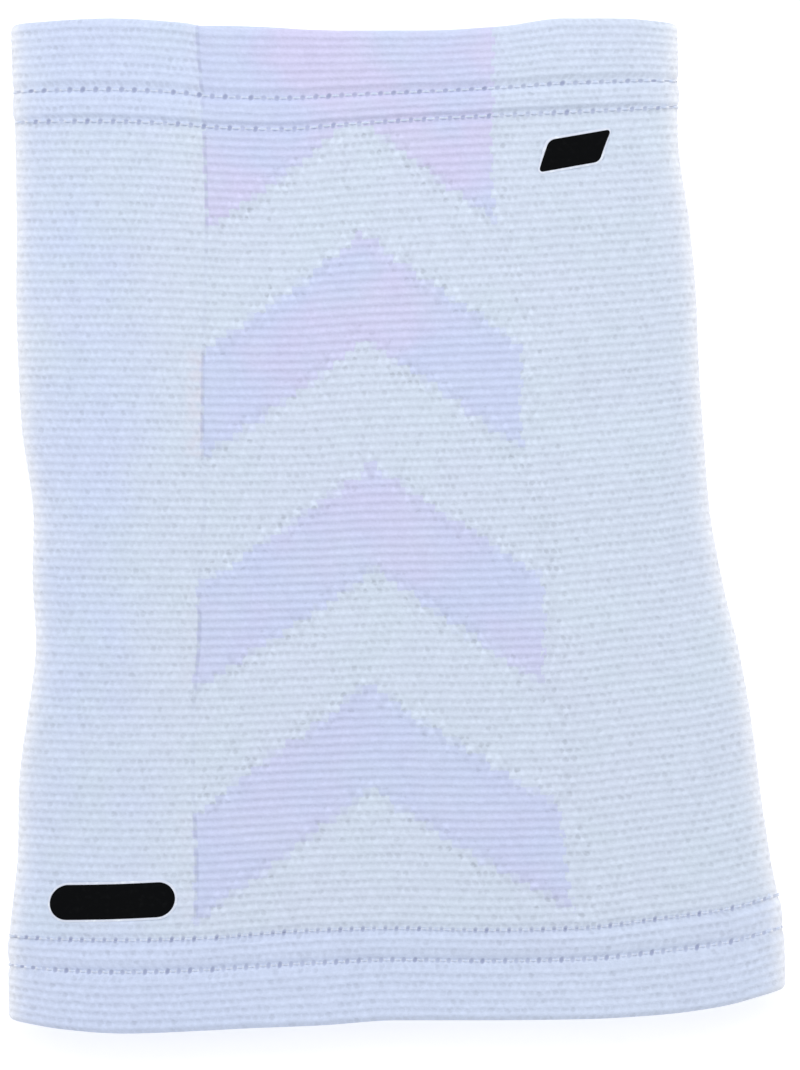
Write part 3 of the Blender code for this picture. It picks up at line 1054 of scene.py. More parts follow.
@dataclass(frozen=True)
class KnitMaterial:
    """The knit's material, for the body or for a hem."""

    form: SleeveForm
    effects: SharedEffects
    finish: KnitFinish
    half_panel_wales: float = 23.0
    wanders: tuple[Wander, ...] = (Wander(240, 0.5, 0.9), Wander(1100, 0.4, 0.5))
    plainest_strip_y: float = 34 * MM

    def zones(
        self, sketch: NodeSketch, arm: object, course: object, random: object, panel: PanelKind
    ) -> tuple[object, object]:
        """Where the closer, lavender stitch is, and where uneven stitches get painted highlights and shade,
        as along its slanted edges.

        Args:
            sketch: The material's nodes.
            arm: The stitch's arm coordinate.
            course: The stitch's course.
            random: The stitch's random value, 0.5 for a straight edge.
            panel: What the panel holds.

        Returns:
            The two masks.
        """
        if panel is PanelKind.PLAIN:
            return 0.0, 0.0
        if panel is PanelKind.FILLED:
            return sketch.math("LESS_THAN", sketch.math("ABSOLUTE", arm), 1.0), 0.0
        share = sketch.math("DIVIDE", course, float(self.form.courses))
        zone: object = 0.0
        edge: object = 0.0
        for chevron in CHEVRONS:
            band = sketch.group(
                self.effects.chevron_band, Share=share, Arm=arm, Tip=chevron.tip, Notch=chevron.notch,
                Drop=chevron.drop, Random=random,
            )
            zone = sketch.math("MAXIMUM", band.outputs["Band"], zone)
            edge = sketch.math("MAXIMUM", band.outputs["Edge"], edge)
        right_of_panel = sketch.strip(arm, 1.0, 1.01, 1.11, 1.13)
        return zone, sketch.math("MULTIPLY_ADD", right_of_panel, 0.7, edge)

    def yarn(
        self, sketch: NodeSketch, place: object, zone: object, knit: tuple[object, object], panel: PanelKind
    ) -> bpy.types.NodeSocket:
        """The yarn's colour over the piece, with the painted sheen at the side folds and the painted light
        and shade at the panel's edge crease, but without the stitches' own light and dark.

        Args:
            sketch: The material's nodes.
            place: The place on the object.
            zone: Where the closer stitch is.
            knit: The arm coordinate and the course.
            panel: What the panel holds.

        Returns:
            The colour.
        """
        finish = self.finish
        plain_hem = panel is PanelKind.PLAIN
        x, y = sketch.parts(place)[:2]
        warmth = sketch.math("MULTIPLY", sketch.between(y, -90 * MM, 100 * MM, 0.24, 0.68), zone)
        if panel is PanelKind.CHEVRONS:
            drift = sketch.between(sketch.noise(place, 26, 2), 0.36, 0.62, 0.35, 1.0)
            left = sketch.math("MULTIPLY", sketch.between(x, -50 * MM, -74 * MM), drift)
        else:
            left = sketch.between(x, 80 * MM, -60 * MM, 0.55 if plain_hem else 0.15, 1.0)
        plain = sketch.mix(left, seen_colour(*finish.pale), seen_colour(*finish.periwinkle))
        yarn = sketch.mix(zone, plain, seen_colour(*finish.lavender))
        yarn = sketch.group(
            self.effects.mottle, Place=place, Base=yarn, Warm=seen_colour(*finish.pinkish),
            Cool=seen_colour(*finish.greenish), Warm_Share=sketch.math("ADD", warmth, 0.06),
            Cool_Share=sketch.math("MULTIPLY_ADD", zone, -0.15, 0.05 if plain_hem else 0.30),
        ).outputs["Colour"]
        # The panel's left edge crease, as painted light and shade.
        if not plain_hem:
            yarn = self.paint_crease_light_and_shade(sketch, yarn, place, knit, panel)
        # Painted sheen: the knit turns paler where it faces sideways, at the side folds.
        with_painted_sheen = sketch.group(self.effects.painted_fold_sheen, Colour=yarn, Fold=seen_colour(*finish.fold))
        return with_painted_sheen.outputs["Colour"]

    def paint_crease_light_and_shade(
        self, sketch: NodeSketch, yarn: object, place: object, knit: tuple[object, object], panel: PanelKind
    ) -> bpy.types.NodeSocket:
        """The panel's left edge, a crease: a fine dark line of painted shade in it, and beside the closer
        stitch a warm, lighter strip of painted highlight left of it.

        Args:
            sketch: The material's nodes.
            yarn: The colour so far.
            place: The place on the object.
            knit: The arm coordinate and the course.
            panel: What the panel holds.

        Returns:
            The colour with the edge.
        """
        arm, course = knit
        just_inside = -0.98
        closer = self.zones(sketch, just_inside, course, 0.5, panel)[0]
        patchy = sketch.between(sketch.noise(place, 300, 2), 0.3, 0.65, 0.15, 1.0)
        # A fine line of painted shade in the crease, and a strip of painted highlight beside it.
        strip = sketch.strip(arm, -1.13, -1.04, -1.0, -0.985)
        line = sketch.strip(arm, -1.012, -1.0, -0.99, -0.976)
        strip = sketch.math("MULTIPLY", sketch.math("MULTIPLY", strip, closer), patchy)
        line = sketch.math("MULTIPLY", line, sketch.math("MULTIPLY_ADD", closer, 0.30, 0.11))
        away = sketch.math("ABSOLUTE", sketch.math("SUBTRACT", sketch.parts(place)[1], self.plainest_strip_y))
        strip = sketch.math("MULTIPLY", strip, sketch.between(away, 12 * MM, 26 * MM, 0.6, 0.15))
        warmed = sketch.mix(strip, yarn, seen_colour(*self.finish.crease_highlight))
        return sketch.mix(sketch.math("MULTIPLY", line, patchy), warmed, seen_colour(*self.finish.hole))

    def stray(
        self, sketch: NodeSketch, place: object, wale: object, course: object
    ) -> tuple[bpy.types.NodeSocket, bpy.types.NodeSocket]:
        """The wale and the course that the yarn at a place belongs to, as it wanders and frays.

        Args:
            sketch: The material's nodes.
            place: The place on the object.
            wale: The place's own wale.
            course: The place's own course.

        Returns:
            The wale and the course.
        """
        for wander in self.wanders:
            up, aside = sketch.drift(place, wander.scale)[:2]
            risen = sketch.math("MULTIPLY_ADD", up, wander.courses, -wander.courses / 2)
            shifted = sketch.math("MULTIPLY_ADD", aside, wander.wales, -wander.wales / 2)
            course = sketch.math("ADD", course, risen)
            wale = sketch.math("ADD", wale, shifted)
        return wale, course

    def build(self, name: str, panel: PanelKind, rows: list[StitchRow]) -> bpy.types.Material:
        """Makes the material.

        Args:
            name: Its name.
            panel: What the chevron panel's place holds.
            rows: The stitching whose needle holes it paints as shade.

        Returns:
            The material.
        """
        finish = self.finish
        material, sketch, shader = new_material(name)
        knit = sketch.add("ShaderNodeAttribute", attribute_name="knit").outputs["Vector"]
        wale, course, arm = sketch.parts(knit)
        place = sketch.place()
        wale_seen, course_seen = self.stray(sketch, place, wale, course)
        cell = sketch.group(self.effects.stitch_cell, Wale=wale_seen, Course=course_seen).outputs
        into_cell = sketch.math("SUBTRACT", wale_seen, cell["Cell Wale"])
        cell_arm = sketch.math("SUBTRACT", arm, sketch.math("DIVIDE", into_cell, self.half_panel_wales))
        zone, edge = self.zones(sketch, cell_arm, cell["Cell Course"], cell["Random"], panel)
        uneven = sketch.between(sketch.noise(place, 420, 2), 0.3, 0.7, 0.55, 1.45)
        face = sketch.group(
            self.effects.knit_face, Ridge=cell["Ridge"], Loop=cell["Loop"], Strand=cell["Strand"],
            Gap=cell["Gap"], Random=cell["Random"], Gap_Random=cell["Gap Random"], Unevenness=uneven,
            Closeness=zone, Edge=edge,
        ).outputs
        fibre = sketch.group(self.effects.fibre, Place=place).outputs
        yarn = self.yarn(sketch, place, zone, (arm, course), panel)
        # The stitches' painted light and shade, with the fibres' fine shade and a random tone for each
        # stitch.
        shade = sketch.math("MULTIPLY", face["Shade"], fibre["Shade"])
        shade = sketch.math("MULTIPLY", shade, sketch.math("MULTIPLY_ADD", cell["Random"], 0.03, 0.985))
        colour = sketch.shaded(yarn, shade)
        # The needle holes, as painted shade.
        for row in rows:
            hole = sketch.group(
                self.effects.needle_hole_shade, Wale=wale, Course=course, Seam=float(self.form.course(row.along)),
                Rate=row.stitches / self.form.wales, Start=row.start,
            ).outputs["Hole"]
            colour = sketch.mix(hole, colour, seen_colour(*finish.hole))

        height = sketch.math("MULTIPLY_ADD", fibre["Height"], 0.35, face["Height"])
        relief = {"Strength": finish.bump_strength, "Distance": finish.bump_depth, "Height": height}
        sketch.feed(shader.inputs["Normal"], sketch.add("ShaderNodeBump", relief).outputs[0])
        sketch.feed(shader.inputs["Base Color"], colour)
        roughness = sketch.math("MULTIPLY_ADD", face["Height"], -finish.crown_polish, finish.roughness)
        sketch.feed(shader.inputs["Roughness"], roughness)
        shader.inputs["Sheen Weight"].default_value = finish.sheen
        shader.inputs["Sheen Roughness"].default_value = finish.sheen_roughness
        shader.inputs["Specular IOR Level"].default_value = finish.specular
        return material


@dataclass(frozen=True)
class ThreadFinish:
    """The stitching thread's colour and its painted sheen's paler colour, as seen, and its surface."""

    colour: SeenColour
    # The paler colour of the painted sheen at the side folds.
    fold: SeenColour
    roughness: float = 0.88
    sheen: float = 0.05
    specular: float = 0.25
    bump_strength: float = 0.5
    bump_depth: float = 0.12 * MM


def thread_material(finish: ThreadFinish, effects: SharedEffects) -> bpy.types.Material:
    """A soft spun thread.

    Args:
        finish: Its finish.
        effects: The shared node groups.

    Returns:
        The material.
    """
    material, sketch, shader = new_material("hem_thread")
    place = sketch.place()
    fibre = sketch.group(effects.fibre, Place=place).outputs
    uneven = sketch.between(sketch.noise(place, 260), 0.3, 0.7, 0.93, 1.04)
    # The painted sheen at the side folds, as on the knit.
    colours = {"Colour": seen_colour(*finish.colour), "Fold": seen_colour(*finish.fold)}
    with_painted_sheen = sketch.group(effects.painted_fold_sheen, **colours).outputs["Colour"]
    shaded = sketch.shaded(with_painted_sheen, sketch.math("MULTIPLY", fibre["Shade"], uneven))
    relief = {"Strength": finish.bump_strength, "Distance": finish.bump_depth, "Height": fibre["Height"]}
    sketch.feed(shader.inputs["Normal"], sketch.add("ShaderNodeBump", relief).outputs[0])
    sketch.feed(shader.inputs["Base Color"], shaded)
    shader.inputs["Roughness"].default_value = finish.roughness
    shader.inputs["Sheen Weight"].default_value = finish.sheen
    shader.inputs["Specular IOR Level"].default_value = finish.specular
    return material


@dataclass(frozen=True)
class ProfileRow:
    """One row of a knitted shell's section: its place along, its depth, and how much knit relief it shows."""

    along: float
    depth: float
    relief: float


@dataclass
class KnitShell:
    """A band of knit: a closed section carried round the flattened tube, with the knit's relief on it."""

    form: SleeveForm
    rib_height: float = 0.26 * MM
    chevron_height: float = 0.20 * MM
    ripple_height: float = 0.16 * MM
    pucker_height: float = 0.20 * MM
    pucker_reach: float = 1.1 * MM
    seam_fill: float = 0.36 * MM
    fold_fill: float = 0.35 * MM
    fold_fill_share: float = 0.05
    fold_puff: float = 0.75 * MM
    puff_share: float = 0.03
    ripple_size: float = 34 * MM
    patch_size: float = 14 * MM
    patch_change: float = 0.3
    stitched_loss: float = 0.6
    open_knit_share: float = 0.65
    pressed_from: float = 0.9

    def soft_rise(self, across: np.ndarray, along: np.ndarray, points: np.ndarray) -> np.ndarray:
        """Broad soft ripples, and the yarn that half fills the stitched grooves, more so at the side folds.

        Args:
            across: Shares across.
            along: Distances from the thigh mouth.
            points: The plain points.

        Returns:
            How far they raise the outer face.
        """
        at_fold = np.exp(-(np.minimum(across, 1 - across) / self.fold_fill_share) ** 2)
        fill = (self.seam_fill + self.fold_fill * at_fold) * self.form.stitched(along)
        ripple = soft_ripple(points[..., 0], points[..., 1], self.ripple_size, RIPPLE_SEED)
        return fill + self.ripple_height * ripple

    def pucker(self, turn: np.ndarray, along: np.ndarray, row: StitchRow) -> np.ndarray:
        """The dimple at each needle hole of a row, and the swelling between them.

        Args:
            turn: Shares of the way round.
            along: Distances from the thigh mouth.
            row: The row.

        Returns:
            How far they raise the outer face.
        """
        near = np.exp(-((along - row.along) / self.pucker_reach) ** 2)
        return -self.pucker_height * np.cos(2 * math.pi * (turn * row.stitches + row.start)) * near

    def relief(
        self, columns: Columns, along: np.ndarray, points: np.ndarray, rows: list[StitchRow]
    ) -> np.ndarray:
        """How far the outer face stands out at each point: ribs, chevrons, soft ripples and stitch puckers.

        Args:
            columns: The places round the tube.
            along: The rows' places along, as a column.
            points: The plain points, for the ripples.
            rows: The stitching that puckers the knit.

        Returns:
            The relief.
        """
        form = self.form
        wave = 0.5 + 0.5 * np.cos(2 * math.pi * form.course(along))
        pulled = form.stitched(along)
        zone = form.chevron_rise(form.arm(columns.across, along, columns.on_back), along)
        patches = soft_ripple(points[..., 0], points[..., 1], self.patch_size, PATCH_SEED)
        uneven = 1 + self.patch_change * patches
        closer = self.open_knit_share + (1 - self.open_knit_share) * zone
        crown = self.rib_height / 2 * (1 - self.stitched_loss * pulled) * uneven * closer
        raised = self.chevron_height * zone * (1 - pulled) + self.soft_rise(columns.across, along, points)
        for row in rows:
            raised = raised + self.pucker(columns.turn, along, row)
        from_fold = np.minimum(columns.across, 1 - columns.across)
        raised = raised + self.fold_puff * np.exp(-(from_fold / self.puff_share) ** 2)
        rise = form.fold_rise(columns.across, np.float64(form.back_fold_reach))
        pressed = columns.on_back * smooth_step(self.pressed_from, 1.0, rise)
        filled = self.seam_fill * pulled - crown
        return crown * (2 * wave - 1) + raised * (1 - pressed) + filled * pressed

    def build(
        self, name: str, columns: Columns, profile: list[ProfileRow], rows: list[StitchRow],
        material: bpy.types.Material,
    ) -> bpy.types.Object:
        """Makes the shell's object.

        Args:
            name: Its name.
            columns: The places round the tube.
            profile: Its closed section, outer face first and towards the calf.
            rows: The stitching that puckers it.
            material: Its material.

        Returns:
            The object.
        """
        form = self.form
        along = np.array([row.along for row in profile])[:, None]
        depth = np.array([row.depth for row in profile])[:, None]
        shown = np.array([row.relief for row in profile])[:, None]
        points = form.point(columns.across, along, columns.on_back, depth)
        round_way = np.roll(points, -1, axis=1) - np.roll(points, 1, axis=1)
        length_way = np.roll(points, -1, axis=0) - np.roll(points, 1, axis=0)
        normals = np.cross(round_way, length_way)
        normals /= np.maximum(np.linalg.norm(normals, axis=-1, keepdims=True), 1e-12)
        points = points + normals * (shown * self.relief(columns, along, points, rows))[..., None]
        points[..., 2] = np.maximum(points[..., 2], 0.0)

        count, around = points.shape[:2]
        i, j = np.meshgrid(np.arange(count), np.arange(around), indexing="ij")
        corners = ((i, j), (i, j + 1), (i + 1, j + 1), (i + 1, j))
        faces = np.stack([row % count * around + column % around for row, column in corners], axis=-1)
        made = mesh_object(name, points, faces.reshape(-1, 4).tolist(), material)
        arm = form.arm(columns.across, along, columns.on_back)
        wale = np.append(columns.turn, 1.0) * form.wales
        course = form.course(along[:, 0])
        knit = np.stack(
            [
                np.stack([wale[column], course[row % count], arm[row % count, column % around]], axis=-1)
                for row, column in corners
            ],
            axis=2,
        )
        layer = made.data.attributes.new("knit", "FLOAT_VECTOR", "CORNER")
        layer.data.foreach_set("vector", knit.astype(np.float32).ravel())
        return made


@dataclass
class SleeveBody:
    """The knitted tube between the hems."""

    form: SleeveForm
    shell: KnitShell
    across_columns: int = 168
    crowding: float = 1.3
    steps_a_course: int = 5
    inner_steps: int = 24
    seam_clearance: float = 0.005 * MM

    def build(self, material: bpy.types.Material) -> bpy.types.Object:
        """Makes the tube, hangs it from the root and hides the model's sleeve body part.

        Args:
            material: Its material.

        Returns:
            The tube.
        """
        form = self.form
        start = form.thigh_stitching + self.seam_clearance
        end = form.calf_stitching - self.seam_clearance
        outer = np.linspace(start, end, form.courses * self.steps_a_course + 1)
        inner = np.linspace(end, start, self.inner_steps)
        profile = [ProfileRow(along, -float(form.lift(along, False)), 1.0) for along in outer]
        profile += [ProfileRow(along, form.knit_wall, 0.0) for along in inner]
        columns = form.columns(self.across_columns, self.crowding)
        body = self.shell.build("sleeve_tube", columns, profile, [], material)
        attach(body, ROOT)
        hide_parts("sleeve_body")
        middle = (form.girth(form.thigh_stitching) + form.girth(form.calf_stitching)) / 2
        return body


@dataclass
class TurnedHem:
    """A hem: the tube's end, turned in and held down by two rows of stitching."""

    form: SleeveForm
    shell: KnitShell
    name: str
    node: str
    at_calf: bool
    rows: list[StitchRow]
    step: float = 0.36 * MM
    columns_a_stitch: int = 4
    lip_steps: int = 7
    inside_steps: int = 12
    slit_steps: int = 6
    ply_slit: float = 0.08 * MM
    seam_clearance: float = 0.005 * MM

    def profile(self) -> list[ProfileRow]:
        """The turned hem's section: outer ply, round lip, inner ply and the slit between the plies.

        Returns:
            The rows, with the outer face first and towards the calf.
        """
        form = self.form
        out = 1 if self.at_calf else -1
        stitching = form.calf_stitching if self.at_calf else form.thigh_stitching
        mouth = form.length if self.at_calf else 0.0
        seam = stitching + out * self.seam_clearance
        radius = form.hem_thickness / 2
        lip = mouth - out * radius
        outer = np.linspace(seam, lip, int(abs(lip - seam) / self.step))
        rows = [ProfileRow(along, -float(form.lift(along, True)), 1.0) for along in outer]
        for angle in np.linspace(0, math.pi, self.lip_steps + 2)[1:-1]:
            inward = radius * (1 - math.cos(angle)) - form.hem_proud
            rows.append(ProfileRow(lip + out * radius * math.sin(angle), inward, max(math.cos(angle), 0.0)))
        inside = form.hem_thickness - form.hem_proud
        between = inside - radius
        far = lip - out * radius / 2
        hidden = (
            (inside, lip, seam, self.inside_steps),
            (between + self.ply_slit / 2, seam, far, self.slit_steps),
            (between - self.ply_slit / 2, far, seam, self.slit_steps),
        )
        for depth, start, end, steps in hidden:
            rows += [ProfileRow(along, depth, 0.0) for along in np.linspace(start, end, steps)]
        return rows if self.at_calf else rows[::-1]

    def build(self, material: bpy.types.Material) -> bpy.types.Object:
        """Makes the hem, hangs it from the root and hides the model's part for it.

        Args:
            material: Its material.

        Returns:
            The hem.
        """
        form = self.form
        columns = form.columns(self.rows[0].stitches * self.columns_a_stitch, 0.0)
        hem = self.shell.build(self.name, columns, self.profile(), self.rows, material)
        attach(hem, ROOT)
        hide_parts(self.node)
        return hem

    def declare(self, hem: bpy.types.Object, threads: list[bpy.types.Object]) -> None:
        """Args:
            hem: The hem, not used.
            threads: Its stitching, not used.
        """
        form = self.form
        width = form.calf_hem_width if self.at_calf else form.thigh_hem_width
        girth = form.girth(form.length - width / 2 if self.at_calf else width / 2)


@dataclass
class HemThread:
    """The thread of one row of hem stitching, as a short raised bar between each two needle holes."""

    form: SleeveForm
    shell: KnitShell
    row: StitchRow
    width: float = 0.70 * MM
    thickness: float = 0.24 * MM
    reach: float = 0.84
    crest: float = 0.10
    dive: float = 0.9
    taper: float = 1.95
    tip_size: float = 0.02
    steps: int = 6
    sides: int = 6

    def build(self, material: bpy.types.Material) -> bpy.types.Object:
        """Makes the row's thread as one mesh.

        Args:
            material: The thread's material.

        Returns:
            The thread.
        """
        form, row = self.form, self.row
        middles = (np.arange(row.stitches) + 0.5 - row.start) / row.stitches
        along_stitch = np.linspace(-0.5, 0.5, self.steps + 1)
        turn = middles[:, None] + along_stitch * self.reach / row.stitches
        across, on_back = form.place_of_turn(turn)
        along = np.float64(row.along)
        depth = -form.lift(along, True)
        plain = form.point(across, along, on_back, depth)
        further = form.point(across, along + self.width, on_back, depth)
        out = np.cross(np.gradient(plain, axis=1), further - plain)
        out /= np.linalg.norm(out, axis=-1, keepdims=True)
        raised = self.shell.relief(Columns(across, on_back, turn), along, plain, [row])
        diving = self.thickness * (self.crest - self.dive * (2 * along_stitch) ** 2)
        spine = plain + out * (raised + diving)[..., None]
        ahead = np.gradient(spine, axis=1)
        ahead /= np.linalg.norm(ahead, axis=-1, keepdims=True)
        beside = np.cross(out, ahead)
        swell = np.sqrt(np.clip(1 - (self.taper * along_stitch) ** 4, self.tip_size, 1))[:, None]
        verts = []
        for side in range(self.sides):
            angle = 2 * math.pi * side / self.sides
            upward = self.thickness / 2 * math.cos(angle) * out
            verts.append(spine + swell * (upward + self.width / 2 * math.sin(angle) * beside))
        grid = np.stack(verts, axis=2)
        grid[..., 2] = np.maximum(grid[..., 2], 0.0)
        stitches, length, sides = grid.shape[:3]
        faces = []
        for stitch in range(stitches):
            first = stitch * length * sides
            for step in range(length - 1):
                low, high = first + step * sides, first + (step + 1) * sides
                for side in range(sides):
                    after = (side + 1) % sides
                    faces.append((low + side, high + side, high + after, low + after))
            faces.append(tuple(first + side for side in range(sides)))
            faces.append(tuple(first + (length - 1) * sides + side for side in reversed(range(sides))))
        thread = mesh_object(row.name, grid, faces, material)
        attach(thread, ROOT)
        return thread


@dataclass(frozen=True)
class FilmFinish:
    """A heat transfer's film: its colour as seen and how it shines."""

    colour: SeenColour
    roughness: float
    grain: float
    worn_roughness: float = 0.25
    specular: float = 0.05
    bump_depth: float = 0.1 * MM


def film_material(name: str, finish: FilmFinish, effects: SharedEffects) -> bpy.types.Material:
    """A thin film bonded to knit, which shows a little of the yarn under it.

    Args:
        name: The material's name.
        finish: The film's finish.
        effects: The shared node groups.

    Returns:
        The material.
    """
    material, sketch, shader = new_material(name)
    place = sketch.place()
    fibre = sketch.group(effects.fibre, Place=place).outputs
    worn = sketch.noise(place, 700, 4)
    base = seen_colour(*finish.colour)
    lighter = tuple(min(value * 1.25 + 0.002, 1) for value in base[:3]) + (1.0,)
    colour = sketch.mix(sketch.between(worn, 0.5, 0.75), base, lighter)
    height = sketch.math("MULTIPLY_ADD", fibre["Height"], 0.5, worn)
    relief = {"Strength": finish.grain, "Distance": finish.bump_depth, "Height": height}
    sketch.feed(shader.inputs["Normal"], sketch.add("ShaderNodeBump", relief).outputs[0])
    sketch.feed(shader.inputs["Base Color"], colour)
    rough = sketch.math("MULTIPLY_ADD", worn, finish.worn_roughness, finish.roughness)
    sketch.feed(shader.inputs["Roughness"], rough)
    shader.inputs["Specular IOR Level"].default_value = finish.specular
    return material


class LabelShape(Enum):
    """The two outlines that the labels have."""

    PILL = "pill"
    SLANTED = "slanted"


@dataclass
class TransferLabel:
    """A plain black transfer label on its thin pale film, bonded to the front wall."""

    form: SleeveForm
    shell: KnitShell
    name: str
    node: str
    shape: LabelShape
    across: float
    along: float
    tilt: float
    length: float
    height: float
    shift: float = 0.0
    corner: float = 1.2 * MM
    thickness: float = 0.26 * MM
    border: float = 0.6 * MM
    border_thickness: float = 0.08 * MM
    bed: float = 0.10 * MM
    rounding: float = 0.30 * MM
    rim_share: float = 0.35
    sunk: float = 0.12 * MM
    telegraphed: float = 0.012 * MM
    steps_long: int = 110
    steps_high: int = 34

    def outline(self, u: np.ndarray, v: np.ndarray, grow: float) -> tuple[np.ndarray, np.ndarray, np.ndarray]:
        """Places on the label for shares from -1 to 1 along it and up it.

        Args:
            u: Shares along.
            v: Shares up.
            grow: How far the outline is grown.

        Returns:
            X and y on the label, and the distance in from its edge.
        """
        half_height = self.height / 2 + grow
        round_off = half_height if self.shape is LabelShape.PILL else self.corner + grow
        half_length = self.length / 2 + grow - self.shift / 2
        y = v * half_height
        into = np.clip((np.abs(y) - (half_height - round_off)) / round_off, 0, 1)
        reach = half_length - round_off * (1 - np.sqrt(1 - into ** 2))
        x = u * reach + self.shift / 2 * y / half_height
        corner_x = np.maximum(np.abs(u * reach) - (half_length - round_off), 0)
        corner_y = np.maximum(np.abs(y) - (half_height - round_off), 0)
        from_side = np.minimum(half_length - np.abs(u * reach), half_height - np.abs(y))
        in_corner = (corner_x > 0) & (corner_y > 0)
        inward = np.where(in_corner, round_off - np.hypot(corner_x, corner_y), from_side)
        return x, y, np.maximum(inward, 0)

    def film(
        self, name: str, grow: float, low: float, thickness: float, material: bpy.types.Material
    ) -> bpy.types.Object:
        """One layer of the label, as a closed film that follows the knit under it.

        Args:
            name: The piece's name.
            grow: How far its outline is grown past the label's.
            low: How far its underside lies above the knit's plain face.
            thickness: Its thickness.
            material: Its material.

        Returns:
            The layer.
        """
        form = self.form
        u = np.sin(np.linspace(-1, 1, self.steps_long + 1) * math.pi / 2)
        v = np.sin(np.linspace(-1, 1, self.steps_high + 1) * math.pi / 2)
        u, v = np.meshgrid(u, v)
        x, y, inward = self.outline(u, v, grow)
        middle = np.float64(self.across), np.float64(self.along)
        left, right = form.side_edges(form.knit_y(*middle, np.bool_(False)))
        turn_x = x * math.cos(self.tilt) - y * math.sin(self.tilt)
        turn_y = x * math.sin(self.tilt) + y * math.cos(self.tilt)
        across = self.across + turn_x / (right - left)
        along = self.along + turn_y
        edge = np.sqrt(np.clip(1 - (1 - np.clip(inward / self.rounding, 0, 1)) ** 2, 0, 1))
        on_back = np.zeros(across.shape, bool)
        plain = form.point(across, along, on_back, np.zeros(across.shape))
        bed = low + self.shell.soft_rise(across, along, plain)
        ribs = self.telegraphed * np.cos(2 * math.pi * form.course(along))
        film = thickness * (self.rim_share + (1 - self.rim_share) * edge)
        top = form.point(across, along, on_back, -(bed + ribs + film))
        bottom = form.point(across, along, on_back, self.sunk - bed)
        rows, columns = u.shape
        index = np.arange(rows * columns).reshape(rows, columns)
        quads = np.stack([index[:-1, :-1], index[:-1, 1:], index[1:, 1:], index[1:, :-1]], axis=-1)
        faces = quads.reshape(-1, 4).tolist() + (quads[..., ::-1].reshape(-1, 4) + index.size).tolist()
        rim = np.concatenate([index[0, :-1], index[:-1, -1], index[-1, :0:-1], index[:0:-1, 0]])
        for here, there in zip(rim, np.roll(rim, -1)):
            faces.append((int(there), int(here), int(here) + index.size, int(there) + index.size))
        layer = mesh_object(name, np.stack([top, bottom]), faces, material)
        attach(layer, ROOT)
        return layer

    def build(self, black: bpy.types.Material, pale: bpy.types.Material) -> list[bpy.types.Object]:
        """Makes the label and the pale film that it is printed on.

        Args:
            black: The label's material.
            pale: The film's material.

        Returns:
            The two layers.
        """
        border = self.film(self.name + "_film", self.border, self.bed, self.border_thickness, pale)
        label = self.film(self.name + "_print", 0.0, self.bed, self.thickness, black)
        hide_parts(self.node)
        return [border, label]


class Softbox(NamedTuple):
    """A square soft light: where it hangs, its side and its power in watts."""

    name: str
    place: tuple[float, float, float]
    size: float
    power: float


